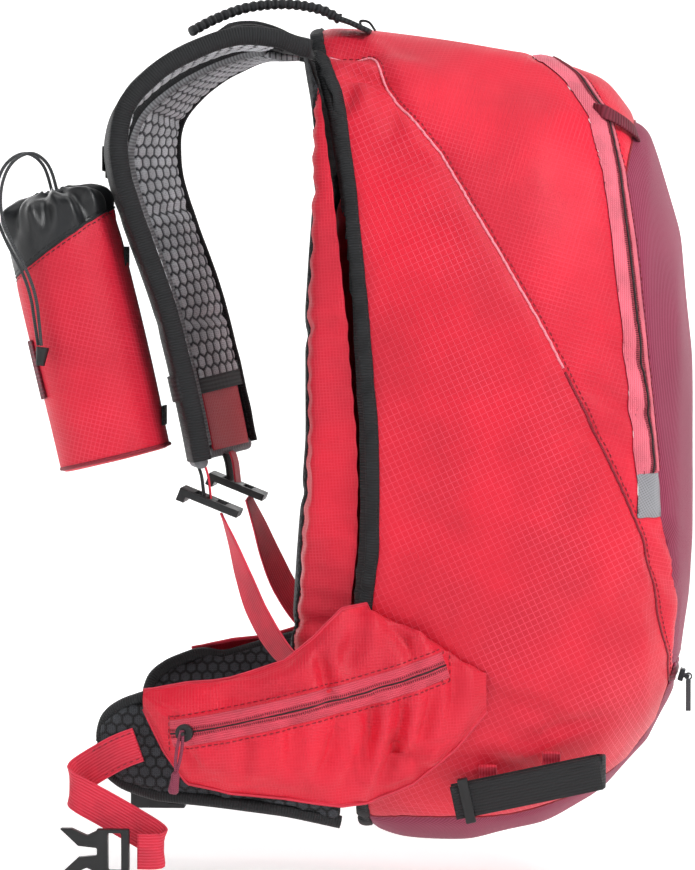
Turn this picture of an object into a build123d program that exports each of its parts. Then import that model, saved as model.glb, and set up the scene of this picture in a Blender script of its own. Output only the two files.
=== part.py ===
from build123d import *
import math
import os

# Ski backpack, millimetres. +X points away from the wearer's back, -Y is the wearer's left, +Z is up.
# The origin is the point where the middle of the back pad touches the wearer.

FABRIC = 2.4                # wall of the filled bag: outer fabric, coating and lining
TAPE_PROUD = 1.0            # how far zip tape and reflective patches stand above the fabric
BINDING_PROUD = 2.0         # how far the back seam's binding stands above the fabric
BINDING_WIDTH = 8.0
BACK_MESH = 4.0             # spacer mesh on the back pad
BACK_SHEET = 1.5            # stiffener sheet behind the foam
PAD_HALF_WIDTH = 88.0       # mesh part of the back, before the plain side strips
SQUARENESS = 2.6            # exponent of the bag's rounded cross-section
PAD_SQUARENESS = 4.0        # exponent of the back pad's section: a flat face and steep sides
REACH = 170.0               # half-width of the tools that cut across the whole bag
ZIP_HALF = 6.0              # half the width of the main zip's tape
LOWER_ZIP = (-149.0, -138.0)    # height of the short zip across the front
PATCH = (-44.0, -18.0)      # height of the reflective patches that end the main zip

STRAP_THICKNESS = 9.0
STRAP_WIDTH = 62.0
STRAP_MESH = 2.5
STRAP_YAW = {"left": 10.0, "right": 25.0}
WEBBING = 20.0
WEBBING_THICKNESS = 1.6
SWING_GAP = 0.6             # clearance left round moving pieces

HOLDER_RADIUS = 34.0
HOLDER_WALL = 2.2
HOLDER_LENGTH = 166.0
HOLDER_TILT = 13.3
HOLDER_FOOT = (-106.5, -85.0, -12.0)
MOUTH_RADIUS = 9.0
CORD = 2.0                  # diameter of the holder's drawcord
ARC_SHARE = 0.45            # share of the shorter run that a bend of the cord takes up

WING_FOAM = 8.0
HINGE_X = 40.0              # the hip wings fold about upright lines at the back panel's edges
POCKET_WALL = 2.0
POCKET_TAPE = 8.0           # half the width of a hip pocket's zip tape

# The bag's envelope: distance from the back, lowest and highest point, half-width.
STATIONS = [
    (-30, -212, 250, 106),
    (15, -228, 247, 118),
    (60, -243, 240, 129),
    (105, -246, 233, 134),
    (150, -234, 230, 131),
    (185, -213, 216, 119),
    (212, -184, 184, 100),
    (230, -151, 122, 78),
    (238, -96, 52, 48),
]

# The back: height, distance of the frame sheet, distance of the pad's middle, half-width of the pad.
BACK_STATIONS = [
    (-226, 34, 24, 52),
    (-195, 34, 2, 84),
    (-130, 36, -10, 106),
    (-60, 45, -5, 118),
    (0, 45, 0, 121),
    (80, 38, 0, 120),
    (150, 30, 5, 114),
    (205, 21, 8, 96),
    (236, 8, 2, 64),
]

# Seam lines on the bag's side, as (distance from the back, height).
ZIP_LINE = [(149, 233), (168, 219), (183, 197), (192, 161), (199, 114), (205, 61), (209, 20), (214, -27)]
FRONT_SEAM = [(226, -58), (232, -95), (229, -140), (219, -172), (200, -198), (170, -218), (130, -229), (40, -231)]
SIDE_SEAM = [(46, 232), (62, 204), (90, 172), (125, 114), (155, 62), (184, 3), (212, -60), (226, -130)]
GUSSET_SEAM = [(206, 204), (203, 178), (196, 140)]

os.makedirs("parts", exist_ok=True)


def save(name, *shapes):
    """Write one node, keeping only real solids."""
    solids = [s for shape in shapes for s in shape.solids() if s.volume > 0.5]
    export_step(Compound(children=solids) if len(solids) > 1 else solids[0], f"parts/{name}.step")


def mirrored(shape):
    """The same piece on the wearer's right."""
    return shape.mirror(Plane.XZ)


def box_between(low, high):
    """A box given by its two extreme corners."""
    size = [b - a for a, b in zip(low, high)]
    centre = [(a + b) / 2 for a, b in zip(low, high)]
    return Pos(*centre) * Box(*size)


def side_prism(outline, y_low=-REACH, y_high=REACH):
    """A tool cut from a side-view outline, running across the bag."""
    points = [(x, y_low, z) for x, z in outline]
    return extrude(make_face(Polyline(*points, close=True)), y_high - y_low, dir=(0, 1, 0))


def ring_section(x, low, high, half_width, inset):
    """One rounded cross-section of the bag, as a face across X."""
    centre = (low + high) / 2
    height = (high - low) / 2 - inset
    width = half_width - inset
    points = []
    for step in range(12):
        angle = 2 * math.pi * (step + 0.5) / 12
        c = math.cos(angle)
        s = math.sin(angle)
        y = width * math.copysign(abs(c) ** (2 / SQUARENESS), c)
        z = centre + height * math.copysign(abs(s) ** (2 / SQUARENESS), s)
        points.append((x, y, z))
    return make_face(Spline(*points, periodic=True))


def envelope(inset):
    """The whole bag as one solid, grown or shrunk by inset."""
    last = STATIONS[-1][0]
    sections = []
    for x, low, high, half_width in STATIONS:
        shift = -inset if x == last else 0
        sections.append(ring_section(x + shift, low, high, half_width, inset))
    return loft(sections, ruled=True)


def behind_back(offset):
    """Everything on the wearer's side of the frame sheet, moved into the bag by offset."""
    profile = [(edge + offset, z) for z, edge, _, _ in BACK_STATIONS]
    foot = (profile[0][0], -300)
    head = (profile[-1][0] - 22, 300)
    return side_prism([foot] + profile + [head, (-120, 300), (-120, -300)])


def pad(depth):
    """The cushioned back as a solid, its crown lowered by depth."""
    sections = []
    for z, edge, middle, half_width in BACK_STATIONS:
        rise = edge - min(middle + depth, edge - 2)
        side = half_width - depth
        points = []
        for step in range(13):
            angle = math.pi * step / 12
            y = -side * math.copysign(abs(math.cos(angle)) ** (2 / PAD_SQUARENESS), math.cos(angle))
            points.append((edge - rise * math.sin(angle) ** (2 / PAD_SQUARENESS), y, z))
        sections.append(make_face([Spline(*points), Line(points[-1], points[0])]))
    return loft(sections, ruled=True)


def half_width_at(x, z):
    """Half-width of the bag at a point of its side view."""
    for near, far in zip(STATIONS, STATIONS[1:]):
        if near[0] <= x <= far[0]:
            t = (x - near[0]) / (far[0] - near[0])
            low, high, width = [a + (b - a) * t for a, b in zip(near[1:], far[1:])]
            level = abs(z - (low + high) / 2) / ((high - low) / 2)
            return width * max(0.0, 1 - level ** SQUARENESS) ** (1 / SQUARENESS)
    return 0.0


def ribbon(points, width, thickness, across=None):
    """A flat band along points. across gives its width direction; without it the band stands on edge."""
    sections = []
    for index, point in enumerate(points):
        before = Vector(*points[max(index - 1, 0)])
        after = Vector(*points[min(index + 1, len(points) - 1)])
        along = (after - before).normalized()
        if across is None:
            level = Vector(-along.Y, along.X, 0).normalized()
            direction = along.cross(level)
        else:
            direction = across[index] if isinstance(across, list) else across
        plane = Plane(origin=point, x_dir=direction, z_dir=along)
        sections.append(plane * Rectangle(width, thickness))
    band = loft(sections[:2], ruled=True)
    for first, second in zip(sections[1:], sections[2:]):
        band += loft([first, second], ruled=True)
    return band


def cord_tube(points, diameter):
    """A round cord: straight runs joined by arcs as large as the runs allow."""
    path = [Vector(*p) for p in points]
    radii = []
    for a, b, c in zip(path, path[1:], path[2:]):
        turn = math.radians((b - a).get_angle(c - b))
        shorter = min((b - a).length, (c - b).length)
        radii.append(ARC_SHARE * shorter / math.tan(turn / 2))
    line = FilletPolyline(*points, radius=radii)
    start = Plane(origin=points[0], z_dir=path[1] - path[0])
    return sweep(start * Circle(diameter / 2), path=line)


# ---------------------------------------------------------------- bag

OUTER = envelope(0)
INNER = envelope(FABRIC)
BACK_CUT = behind_back(0)


def build_bag():
    """Fabric panels, zips, binding and patches, all cut from the same envelope."""
    shell = OUTER - INNER - BACK_CUT
    taped = envelope(-TAPE_PROUD) - INNER - BACK_CUT
    bound = envelope(-BINDING_PROUD) - INNER - BACK_CUT
    after_binding = behind_back(BINDING_WIDTH)
    save("back_binding", bound & after_binding)
    shell = shell - after_binding - main_slider_travel()
    taped = taped - after_binding

    zip_front = [(x + ZIP_HALF, z) for x, z in ZIP_LINE]
    zip_rear = [(x - ZIP_HALF, z) for x, z in ZIP_LINE]
    seam_end = (ZIP_LINE[-1][0] + ZIP_HALF, PATCH[0])
    tape = side_prism([(zip_front[0][0], 290)] + zip_front + [seam_end]
                      + [(seam_end[0] - 2 * ZIP_HALF, PATCH[0])] + zip_rear[::-1] + [(zip_rear[0][0], 290)])
    below_zip = box_between((0, -REACH, -300), (300, REACH, PATCH[1]))
    save("main_zip", taped & tape - below_zip - main_slider_travel())
    save("reflective_patches", taped & tape & below_zip)

    front_line = [(zip_front[0][0], 290)] + zip_front + [seam_end] + FRONT_SEAM
    front = side_prism(front_line + [(40, -300), (300, -300), (300, 290)])
    gusset = side_prism([(zip_front[0][0], 290)] + zip_front[:5] + GUSSET_SEAM[::-1] + [(206, 290)])
    zip_band = box_between((190, -REACH, LOWER_ZIP[0]), (300, REACH, LOWER_ZIP[1]))
    under = box_between((0, -REACH, -300), (300, REACH, LOWER_ZIP[0]))
    rest = shell - tape
    berry = rest & front
    save("top_gusset", berry & gusset)
    save("front_panel", berry - gusset - zip_band - under)
    save("bottom_panel", berry & under)
    save("lower_zip", taped & front & zip_band - lower_slider_travel())

    red = rest - front
    side_tool = side_prism(SIDE_SEAM + [(226, -300), (-60, -300), (-60, 232)])
    sides = red & side_tool
    left = box_between((-100, -REACH, -300), (300, 0, 300))
    save("upper_panel", red - side_tool)
    save("side_panel_left", sides & left)
    save("side_panel_right", sides - left)


def build_back():
    """Padded back: mesh and side strips over foam, in front of a stiffener sheet."""
    foam = pad(BACK_MESH)
    cover = pad(0) - foam
    middle = box_between((-100, -PAD_HALF_WIDTH, -300), (100, PAD_HALF_WIDTH, 300))
    save("back_mesh", cover & middle)
    save("back_side_strips", cover - middle)
    save("back_foam", foam)
    save("back_stiffener", (INNER & behind_back(BACK_SHEET)) - BACK_CUT)


# ---------------------------------------------------------------- zip sliders

MAIN_START = Vector(202.1, 93.8, 104.1)
MAIN_END = Vector(207.6, 98.3, 44.1)
MAIN_OUTWARD = Vector(0.62, 0.78, 0.12)
LOWER_START = Vector(231.6, -33.0, -143.5)
LOWER_OUTWARD = Vector(0.96, 0.0, -0.28)
SLIDER = (7.5, 3.0, 9.0)
MAIN_LIFT = 4.8             # height of a slider's middle over its zip's line
LOWER_LIFT = 2.3
CHANNEL_TOP = 12.0          # how far out a slider's channel reaches
MAIN_PULL = 20.0            # length of the main pull's tab
MAIN_PULL_LIFT = 24.0       # angle at which the main pull stands off the fabric
LOWER_PULL = 19.0


def seat(start, end, outward, lift):
    """A slider's frame: Z along its run, Y out of the bag."""
    along = (end - start).normalized()
    side = outward.cross(along).normalized()
    square_out = along.cross(side)
    return Plane(origin=start + square_out * lift, x_dir=side, z_dir=along)


def slider_body():
    """A zip slider with an arch over its back for the pull."""
    base = Box(*SLIDER)
    posts = Pos(0, 2.8, 3.4) * Box(2.2, 3.2, 1.4) + Pos(0, 2.8, -3.4) * Box(2.2, 3.2, 1.4)
    return base + posts + Pos(0, 4.3, 0) * Box(2.2, 1.0, 8.2)


def travel(start, end, outward, lift, pull=0.0, width=SLIDER[0]):
    """The channel that a slider, and the pull hanging from it, keep clear along its run."""
    length = (end - start).length + pull
    depth = SLIDER[1] + CHANNEL_TOP + 2 * SWING_GAP
    channel = Box(width + 2 * SWING_GAP, depth, length + SLIDER[2] + 2 * SWING_GAP)
    return seat(start, end, outward, lift) * Pos(0, CHANNEL_TOP / 2, length / 2) * channel


def main_slider_travel():
    """Run of the main slider, on the wearer's right."""
    return travel(MAIN_START, MAIN_END, MAIN_OUTWARD, MAIN_LIFT, pull=MAIN_PULL + 6)


def lower_slider_travel():
    """Run of the lower slider, straight across the front."""
    return travel(LOWER_START, mirror_y(LOWER_START), LOWER_OUTWARD, LOWER_LIFT)


def mirror_y(point):
    """The same point on the other side of the bag."""
    return Vector(point.X, -point.Y, point.Z)


def arm_pull(length):
    """A flat pull with a crossbar for the slider's arch, hanging along +Z from the bar."""
    bar = Rot(0, 90, 0) * Cylinder(0.7, 5.6)
    arms = Pos(2.3, 0, 2.5) * Box(1.0, 1.2, 5.6) + Pos(-2.3, 0, 2.5) * Box(1.0, 1.2, 5.6)
    tab = Pos(0, 0, 5 + length / 2) * Box(5.6, 1.2, length)
    return bar + arms + tab


def ring_pull(length):
    """A narrow pull with a ring round the slider's arch, hanging along -X from it."""
    ring = Cylinder(2.4, 1.2) - Cylinder(1.5, 2)
    tab = Pos(2.2 + length / 2, 0, 0) * Box(length, 3.0, 1.2)
    return ring + tab


def build_sliders():
    """Sliders and pulls of the main zip and of the lower front zip."""
    main = seat(MAIN_START, MAIN_END, MAIN_OUTWARD, MAIN_LIFT)
    save("main_slider", main * slider_body())
    save("main_pull", main * Pos(0, 2.7, 0) * Rot(-MAIN_PULL_LIFT, 0, 0) * arm_pull(MAIN_PULL))
    lower = seat(LOWER_START, mirror_y(LOWER_START), LOWER_OUTWARD, LOWER_LIFT)
    save("lower_slider", lower * slider_body())
    hang = Plane(origin=lower.from_local_coords(Vector(0, 4.3, 0)), x_dir=(0, 0, -1), z_dir=(0, 1, 0))
    save("lower_pull", hang * ring_pull(LOWER_PULL))


# ---------------------------------------------------------------- shoulder straps

# Middle line of a strap in the side view and its distance from the middle plane.
STRAP_LINE = [
    (-2, 58, 240), (-18, 66, 243.5), (-36, 72, 243), (-54, 77, 237.5), (-71, 81, 229.5), (-86, 84, 219),
    (-99, 86, 206), (-106, 87, 192), (-108.4, 88, 176), (-106.5, 88, 160), (-102, 88, 144), (-95, 87, 124),
    (-87, 86, 102), (-79.5, 86, 80), (-73.5, 85, 57), (-68, 85, 34), (-63, 85, 11), (-58.5, 85, -12),
]
STRAP_END = [(-57.4, 85, -14), (-55.2, 85, -21), (-54.5, 85, -28)]
MESH_FROM = 1


def on_side(points, side):
    """Points on the left (-Y) or right (+Y) of the pack."""
    sign = -1 if side == "left" else 1
    return [(x, sign * y, z) for x, y, z in points]


def strap_across(side, count):
    """Width directions of a strap, turning in from the shoulder to the chest."""
    sign = -1 if side == "left" else 1
    directions = []
    for index in range(count):
        yaw = math.radians(STRAP_YAW[side]) * min(1.0, index / 8)
        directions.append(Vector(math.sin(yaw), sign * math.cos(yaw), 0))
    return directions


def strap_layer(side, offset, width, thickness, first):
    """One layer of a strap, moved off its middle line by offset towards the wearer."""
    line = on_side(STRAP_LINE, side)
    across = strap_across(side, len(line))
    points = []
    for index, point in enumerate(line):
        before = Vector(*line[max(index - 1, 0)])
        after = Vector(*line[min(index + 1, len(line) - 1)])
        along = (after - before).normalized()
        normal = along.cross(across[index]).normalized()
        sign = 1 if side == "right" else -1
        points.append(tuple(Vector(*point) + normal * offset * sign))
    return ribbon(points[first:], width, thickness, across[first:])


def build_strap(side):
    """A padded shoulder strap with its mesh lining, end webbing and ladder lock."""
    padding = strap_layer(side, 0, STRAP_WIDTH, STRAP_THICKNESS, 0)
    save(f"shoulder_strap_{side}", padding)
    inner = STRAP_THICKNESS / 2 + STRAP_MESH / 2
    save(f"strap_mesh_{side}", strap_layer(side, inner, STRAP_WIDTH - 8, STRAP_MESH, MESH_FROM) - padding)
    sign = -1 if side == "left" else 1
    across = Vector(0.12, sign, 0).normalized()
    save(f"strap_end_{side}", ribbon(on_side(STRAP_END, side), WEBBING, WEBBING_THICKNESS, across))
    save(f"ladder_lock_{side}", ladder_lock(side))
    webbing = on_side(LOWER_LINE, side)
    turn = [Vector(math.sin(a), sign * math.cos(a), 0) for a in (0.1, 0.35, 0.6, 0.75, 0.8, 0.8)]
    save(f"lower_webbing_{side}", ribbon(webbing, WEBBING, WEBBING_THICKNESS, turn))
    return padding


LOCK_CENTRE = (-49.5, 85, -36.5)
LOCK_TILT = 22.0
LOWER_LINE = [(-43, 86, -44), (-36, 88, -62), (-29, 91, -82), (-20, 97, -103), (-6, 104, -124), (14, 109, -142)]


def ladder_lock(side):
    """A two-bar plastic lock, tilted forward, with a release lip."""
    sign = -1 if side == "left" else 1
    frame = Box(38, 31, 4.4)
    slots = Pos(-7.5, 0, 0) * Box(6, 22, 10) + Pos(6.5, 0, 0) * Box(6, 22, 10)
    lip = Pos(-16.5, 0, -3.6) * Box(5, 31, 4.4)
    body = frame - slots + lip
    x, y, z = LOCK_CENTRE
    return Pos(x, sign * y, z) * Rot(0, LOCK_TILT, 0) * body


LOOP_HALF = 20.0            # half the width of the haul loop


def build_top():
    """Haul loop and the ruched ski strap with its sewn tab."""
    arch = [(-4, 0, 244.5), (-14, 0, 250), (-28, 0, 254.5), (-42, 0, 254), (-50, 0, 249.5)]
    across = Vector(0, 1, 0)
    rear = []
    for sign in (-1, 1):
        leg = [(x, sign * (LOOP_HALF - 4), z) for x, _, z in arch]
        rear.append(ribbon(leg, 14, 2, across))
    grip = [(-49.2, y, 249.6) for y in (11 - LOOP_HALF, LOOP_HALF - 11)]
    bridge = ribbon(grip, 10, 2, Vector(0.82, 0, 0.57))
    save("haul_loop", rear[0] + rear[1] + bridge)
    route = [(-62, -74, 246), (-48, -66, 254), (-30, -58, 261), (-8, -50, 263.5), (12, -44, 261), (25, -41, 255)]
    save("ski_strap", ribbon(route, 9, 5, Vector(0.2, -1, 0).normalized()))
    tab = Pos(34, -38, 251.5) * Rot(0, 28, 0) * Box(17, 20, 5)
    save("ski_strap_tab", tab - envelope(-0.01))


# ---------------------------------------------------------------- bottle holder


def build_holder(strap):
    """A soft bottle holder on the left strap: pouch, drawn collar, drawcord and cord end."""
    x, y, z = HOLDER_FOOT
    place = Pos(x, y, z) * Rot(0, -HOLDER_TILT, 0)
    wall = HOLDER_WALL
    body_top = HOLDER_LENGTH - 14
    outer = Pos(0, 0, body_top / 2) * Cylinder(HOLDER_RADIUS, body_top)
    dome = Pos(0, 0, body_top + 7) * Cone(HOLDER_RADIUS, MOUTH_RADIUS + 6, 14)
    hollow = Pos(0, 0, wall + body_top / 2) * Cylinder(HOLDER_RADIUS - wall, body_top)
    inner_dome = Pos(0, 0, body_top + wall + 6) * Cone(HOLDER_RADIUS - wall, MOUTH_RADIUS, 12)
    mouth = Pos(0, 0, HOLDER_LENGTH) * Cylinder(MOUTH_RADIUS, 40)
    pouch = place * (outer + dome - hollow - inner_dome - mouth) - strap
    seam = Plane(origin=(-137, 0, 119), x_dir=(0, 1, 0), z_dir=Vector(-0.58, 0, 0.81))
    save("bottle_holder", split(pouch, seam, keep=Keep.BOTTOM))
    save("holder_collar", split(pouch, seam, keep=Keep.TOP))
    for name, dx, dy in (("drawcord_front", -CORD_SHIFT[0], -CORD_SHIFT[1]), ("drawcord_rear", *CORD_SHIFT)):
        route = [(px + dx * k, py + dy * k, pz) for px, py, pz, k in DRAWCORD]
        save(name, cord_tube(route, CORD))
    end = Pos(*CORD_END) * Rot(0, CORD_END_TILT, 0) * Cone(2.6, 4.0, 11)
    save("cord_end", end)


# Route of one drawcord strand: out of the mouth, over the collar's front and down the pouch's near side.
DRAWCORD = [
    (-143, -85, 146, 1.0), (-145, -86, 157, 1.0), (-149, -91, 168, 1.0), (-158, -98, 174, 1.0),
    (-169, -106, 167, 1.0), (-174, -112, 152, 1.0), (-173, -117, 135, 1.0), (-166, -121, 119, 1.0),
    (-157, -124, 104, 1.0), (-151, -124.5, 88, 1.0), (-149, -124, 72, 0.9), (-147.5, -123, 58, 0.6),
]
CORD_SHIFT = (1.9, -2.4)    # from the route to one strand, square to the loop that they make
CORD_END = (-146.6, -122.3, 51.5)
CORD_END_TILT = 8.0


# ---------------------------------------------------------------- chest strap

CHEST_Z = 170.0


def build_chest(padding):
    """Two webbing halves across the chest, joined by a small side-release buckle."""
    up = Vector(0, 0, 1)
    left = [(-115.5, -66, CHEST_Z), (-117, -40, CHEST_Z), (-117.5, -16, CHEST_Z)]
    right = [(-121.5, 74, CHEST_Z), (-120, 44, CHEST_Z), (-118.5, 14.5, CHEST_Z)]
    save("chest_strap_left", ribbon(left, 15, 1.4, up) - padding["left"])
    save("chest_strap_right", ribbon(right, 15, 1.4, up) - padding["right"])
    socket = box_between((-122, -15.5, CHEST_Z - 11), (-113.5, 7, CHEST_Z + 11))
    cavity = box_between((-120, -9, CHEST_Z - 9), (-115.5, 8, CHEST_Z + 9))
    save("chest_buckle_socket", socket - cavity)
    tongue = box_between((-119.2, -8, CHEST_Z - 8.2), (-116.3, 13.8, CHEST_Z + 8.2))
    collar = box_between((-122, 7.4, CHEST_Z - 11), (-113.5, 13.8, CHEST_Z + 11))
    relief = box_between((-125, -9, CHEST_Z - 3), (-110, 4, CHEST_Z + 3))
    save("chest_buckle_plug", tongue + collar - relief)


# ---------------------------------------------------------------- hip belt

# Inner face of a hip wing: distance from the back, from the middle, lowest and highest point.
WING = [
    (34, 126, -224, -102), (0, 132, -216, -126), (-40, 133, -211, -137),
    (-78, 127, -208, -148), (-100, 119, -202, -156), (-114, 111, -190, -168),
]
# Hip pocket on the wing: distance from the back, lowest and highest point, how far it stands out.
POCKET = [
    (34, -217, -92, 20), (17, -213, -111, 24), (0, -209, -126, 26), (-32, -206, -137, 24),
    (-58, -201, -140, 20), (-72, -182, -143, 12), (-85, -156, -146, 5),
]
# The same pocket's rear end on the bag's side, with the distance of its crest from the middle.
POCKET_REAR = [(46, -220, -75, 150), (75, -206, -86, 147), (100, -184, -106, 139), (119, -160, -126, 128)]
POCKET_ZIP = [(-64, -169), (-36, -162), (-4, -155), (36, -145)]


def wing_y(x):
    """Distance of a wing's inner face from the middle plane."""
    for a, b in zip(WING, WING[1:]):
        if b[0] <= x <= a[0]:
            return a[1] + (b[1] - a[1]) * (a[0] - x) / (a[0] - b[0])
    return WING[0][1]


def crest_section(x, base, low, high, crest):
    """A D-shaped face across X, bulging towards -Y from base to crest."""
    arc = ThreePointArc((x, -base, low), (x, -crest, (low + high) / 2), (x, -base, high))
    return make_face([arc, Line((x, -base, high), (x, -base, low))])


def pocket_skin(grow):
    """The wing part of the pocket as a solid, grown by grow."""
    sections = []
    for x, low, high, bulge in POCKET:
        base = wing_y(x) + WING_FOAM + 0.05
        sections.append(crest_section(x, base, low - grow, high + grow, base + bulge + grow))
    return loft(sections, ruled=True)


def build_hip_side():
    """Wing, pocket, zip, slider and pull on the wearer's left; the right is its mirror image."""
    pieces = {}
    faces = []
    for x, y, low, high in WING:
        corners = [(x, -y, low), (x, -y, high), (x, -y - WING_FOAM, high), (x, -y - WING_FOAM, low)]
        faces.append(make_face(Polyline(*corners, close=True)))
    pieces["hip_wing"] = loft(faces, ruled=True)
    skin = pocket_skin(0)
    room = pocket_skin(-POCKET_WALL) & box_between((-62, -200, -300), (31, -100, 0))
    tape_line = [(x, z + POCKET_TAPE) for x, z in POCKET_ZIP]
    tape_line += [(x, z - POCKET_TAPE) for x, z in POCKET_ZIP[::-1]]
    band = side_prism(tape_line, -REACH - 30, -100)
    run = travel(*POCKET_RUN, LOWER_LIFT, width=2 * KNOB_RADIUS)
    pieces["pocket_zip"] = (pocket_skin(TAPE_PROUD) - room) & band - run
    pieces["hip_pocket"] = skin - room - band - run - pieces["hip_wing"]
    rear = []
    for x, low, high, crest in POCKET_REAR:
        rear.append(crest_section(x, 116, low, high, crest))
    pieces["hip_pocket_rear"] = loft(rear, ruled=True) - envelope(-BINDING_PROUD - 0.5)
    plane = seat(*POCKET_RUN, LOWER_LIFT)
    knob = Rot(90, 0, 0) * Cylinder(KNOB_RADIUS, 3.0)
    post = Pos(0, 3.4, 0) * Rot(90, 0, 0) * Cylinder(1.1, 4.4)
    pieces["pocket_slider"] = plane * (knob + post)
    pivot = plane.from_local_coords(Vector(0, 4.0, 0))
    drop = Plane(origin=pivot, x_dir=(-0.13, 0, -1), z_dir=plane.y_dir)
    eye = Cylinder(3.0, 1.8) - Cylinder(1.5, 3)
    cord = Pos(14.5, 0, 0) * Rot(0, 90, 0) * Cylinder(1.3, 24)
    grip = Pos(31, 0, 0) * Rot(0, 90, 0) * Cone(2.4, 3.2, 11)
    pieces["pocket_pull"] = drop * (eye + cord + grip)
    pieces["hip_webbing"] = ribbon(HIP_LINE, WEBBING, WEBBING_THICKNESS)
    for name, shape in pieces.items():
        save(f"{name}_left", shape)
        save(f"{name}_right", mirrored(shape))


KNOB_RADIUS = 5.2
POCKET_RUN = (Vector(-57, -160.6, -167.5), Vector(8, -167.6, -152.5), Vector(0, -1, 0))
HIP_LINE = [
    (-88, -134.5, -178), (-100, -131, -183), (-114, -127.5, -191), (-123, -127, -197), (-127.5, -131, -201),
    (-127, -137, -204), (-121, -140.5, -208), (-106, -141.5, -216), (-90, -142, -225), (-78, -143, -232),
    (-72.5, -146, -236), (-72.5, -151, -238.5), (-77, -153.5, -239), (-86.2, -153.5, -239),
]
BUCKLE = (-98.0, -153.5, -239.0)


def build_hip_buckle():
    """Male half on the left webbing, female half on the right."""
    x, y, z = BUCKLE
    frame = box_between((x - 12, y - 3, z - 13.3), (x + 7, y + 3, z + 13.3))
    slot = box_between((x - 5.5, y - 5, z - 11), (x + 2.5, y + 5, z + 11))
    outline = [(x - 10, 13.3), (x - 18, 9.5), (x - 27, 13.6), (x - 34, 13.6), (x - 23, 3.4), (x - 10, 2.0)]
    male = frame - slot
    for sign in (-1, 1):
        male += side_prism([(px, z + sign * pz) for px, pz in outline], y - 3, y + 3)
    save("hip_buckle_male", male)
    case = box_between((x - 29, -y - 5.5, z - 14.5), (x + 7, -y + 5.5, z + 14.5))
    socket = box_between((x - 30, -y - 3.6, z - 12.5), (x - 6, -y + 3.6, z + 12.5))
    bar_slot = box_between((x - 3.5, -y - 8, z - 11), (x + 3.5, -y + 8, z + 11))
    save("hip_buckle_female", case - socket - bar_slot)


# ---------------------------------------------------------------- loops on the bag

GEAR_LOOP = [(180, 66, 199), (187, 70, 197), (198, 60, 191), (205, 50, 185), (205, 42, 181)]
AXE_LOW = (98, -214)
AXE_HIGH = (181, -196)
AXE_OUTER_Y = -114.0
AXE_INNER_Y = -101.0


def build_loops():
    """Axe loop with its tri-glide and keepers, and the two small front gear loops."""
    (xa, za), (xb, zb) = AXE_LOW, AXE_HIGH
    outer = [(xa, AXE_OUTER_Y, za), (xb, AXE_OUTER_Y, zb), (xb + 6, AXE_OUTER_Y + 3.5, zb + 1)]
    inner = [(xb + 6, AXE_INNER_Y - 3.5, zb + 1), (xb, AXE_INNER_Y, zb), (xa, AXE_INNER_Y, za)]
    save("axe_loop", ribbon(outer + inner, WEBBING, 2.0))
    slope = math.degrees(math.atan2(zb - za, xb - xa))
    frame = Box(6, 6, 27) - Box(10, 2.9, WEBBING + 1.2)
    place = Pos(xa + 8, AXE_OUTER_Y, za + 8 * (zb - za) / (xb - xa)) * Rot(0, -slope, 0)
    save("axe_loop_glide", place * frame)
    keepers = []
    for x in (118, 156):
        z = za + (x - xa) * (zb - za) / (xb - xa)
        wall = half_width_at(x, z + 14)
        keepers.append(box_between((x - 6, AXE_INNER_Y + 1.1, z - 8), (x + 6, AXE_INNER_Y + 2.7, z + 14)))
        keepers.append(box_between((x - 6, AXE_INNER_Y + 2.7, z + 10), (x + 6, -wall + 4, z + 14)))
    save("axe_loop_keepers", Compound(children=[k - OUTER for k in keepers]))
    loops = []
    for sign in (-1, 1):
        line = [(x, sign * y, z) for x, y, z in GEAR_LOOP]
        loops.append(ribbon(line, 8, 1.6, Vector(-0.35, 0, 0.94)) - envelope(-TAPE_PROUD - 0.1))
    save("gear_loops", *loops)


build_bag()
build_back()
build_sliders()
strap_padding = {strap_side: build_strap(strap_side) for strap_side in ("left", "right")}
build_top()
build_holder(strap_padding["left"])
build_chest(strap_padding)
build_hip_side()
build_hip_buckle()
build_loops()
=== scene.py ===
import math

import bmesh
import bpy
import numpy as np
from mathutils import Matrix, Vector, noise
from mathutils.bvhtree import BVHTree
from mathutils.kdtree import KDTree


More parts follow.
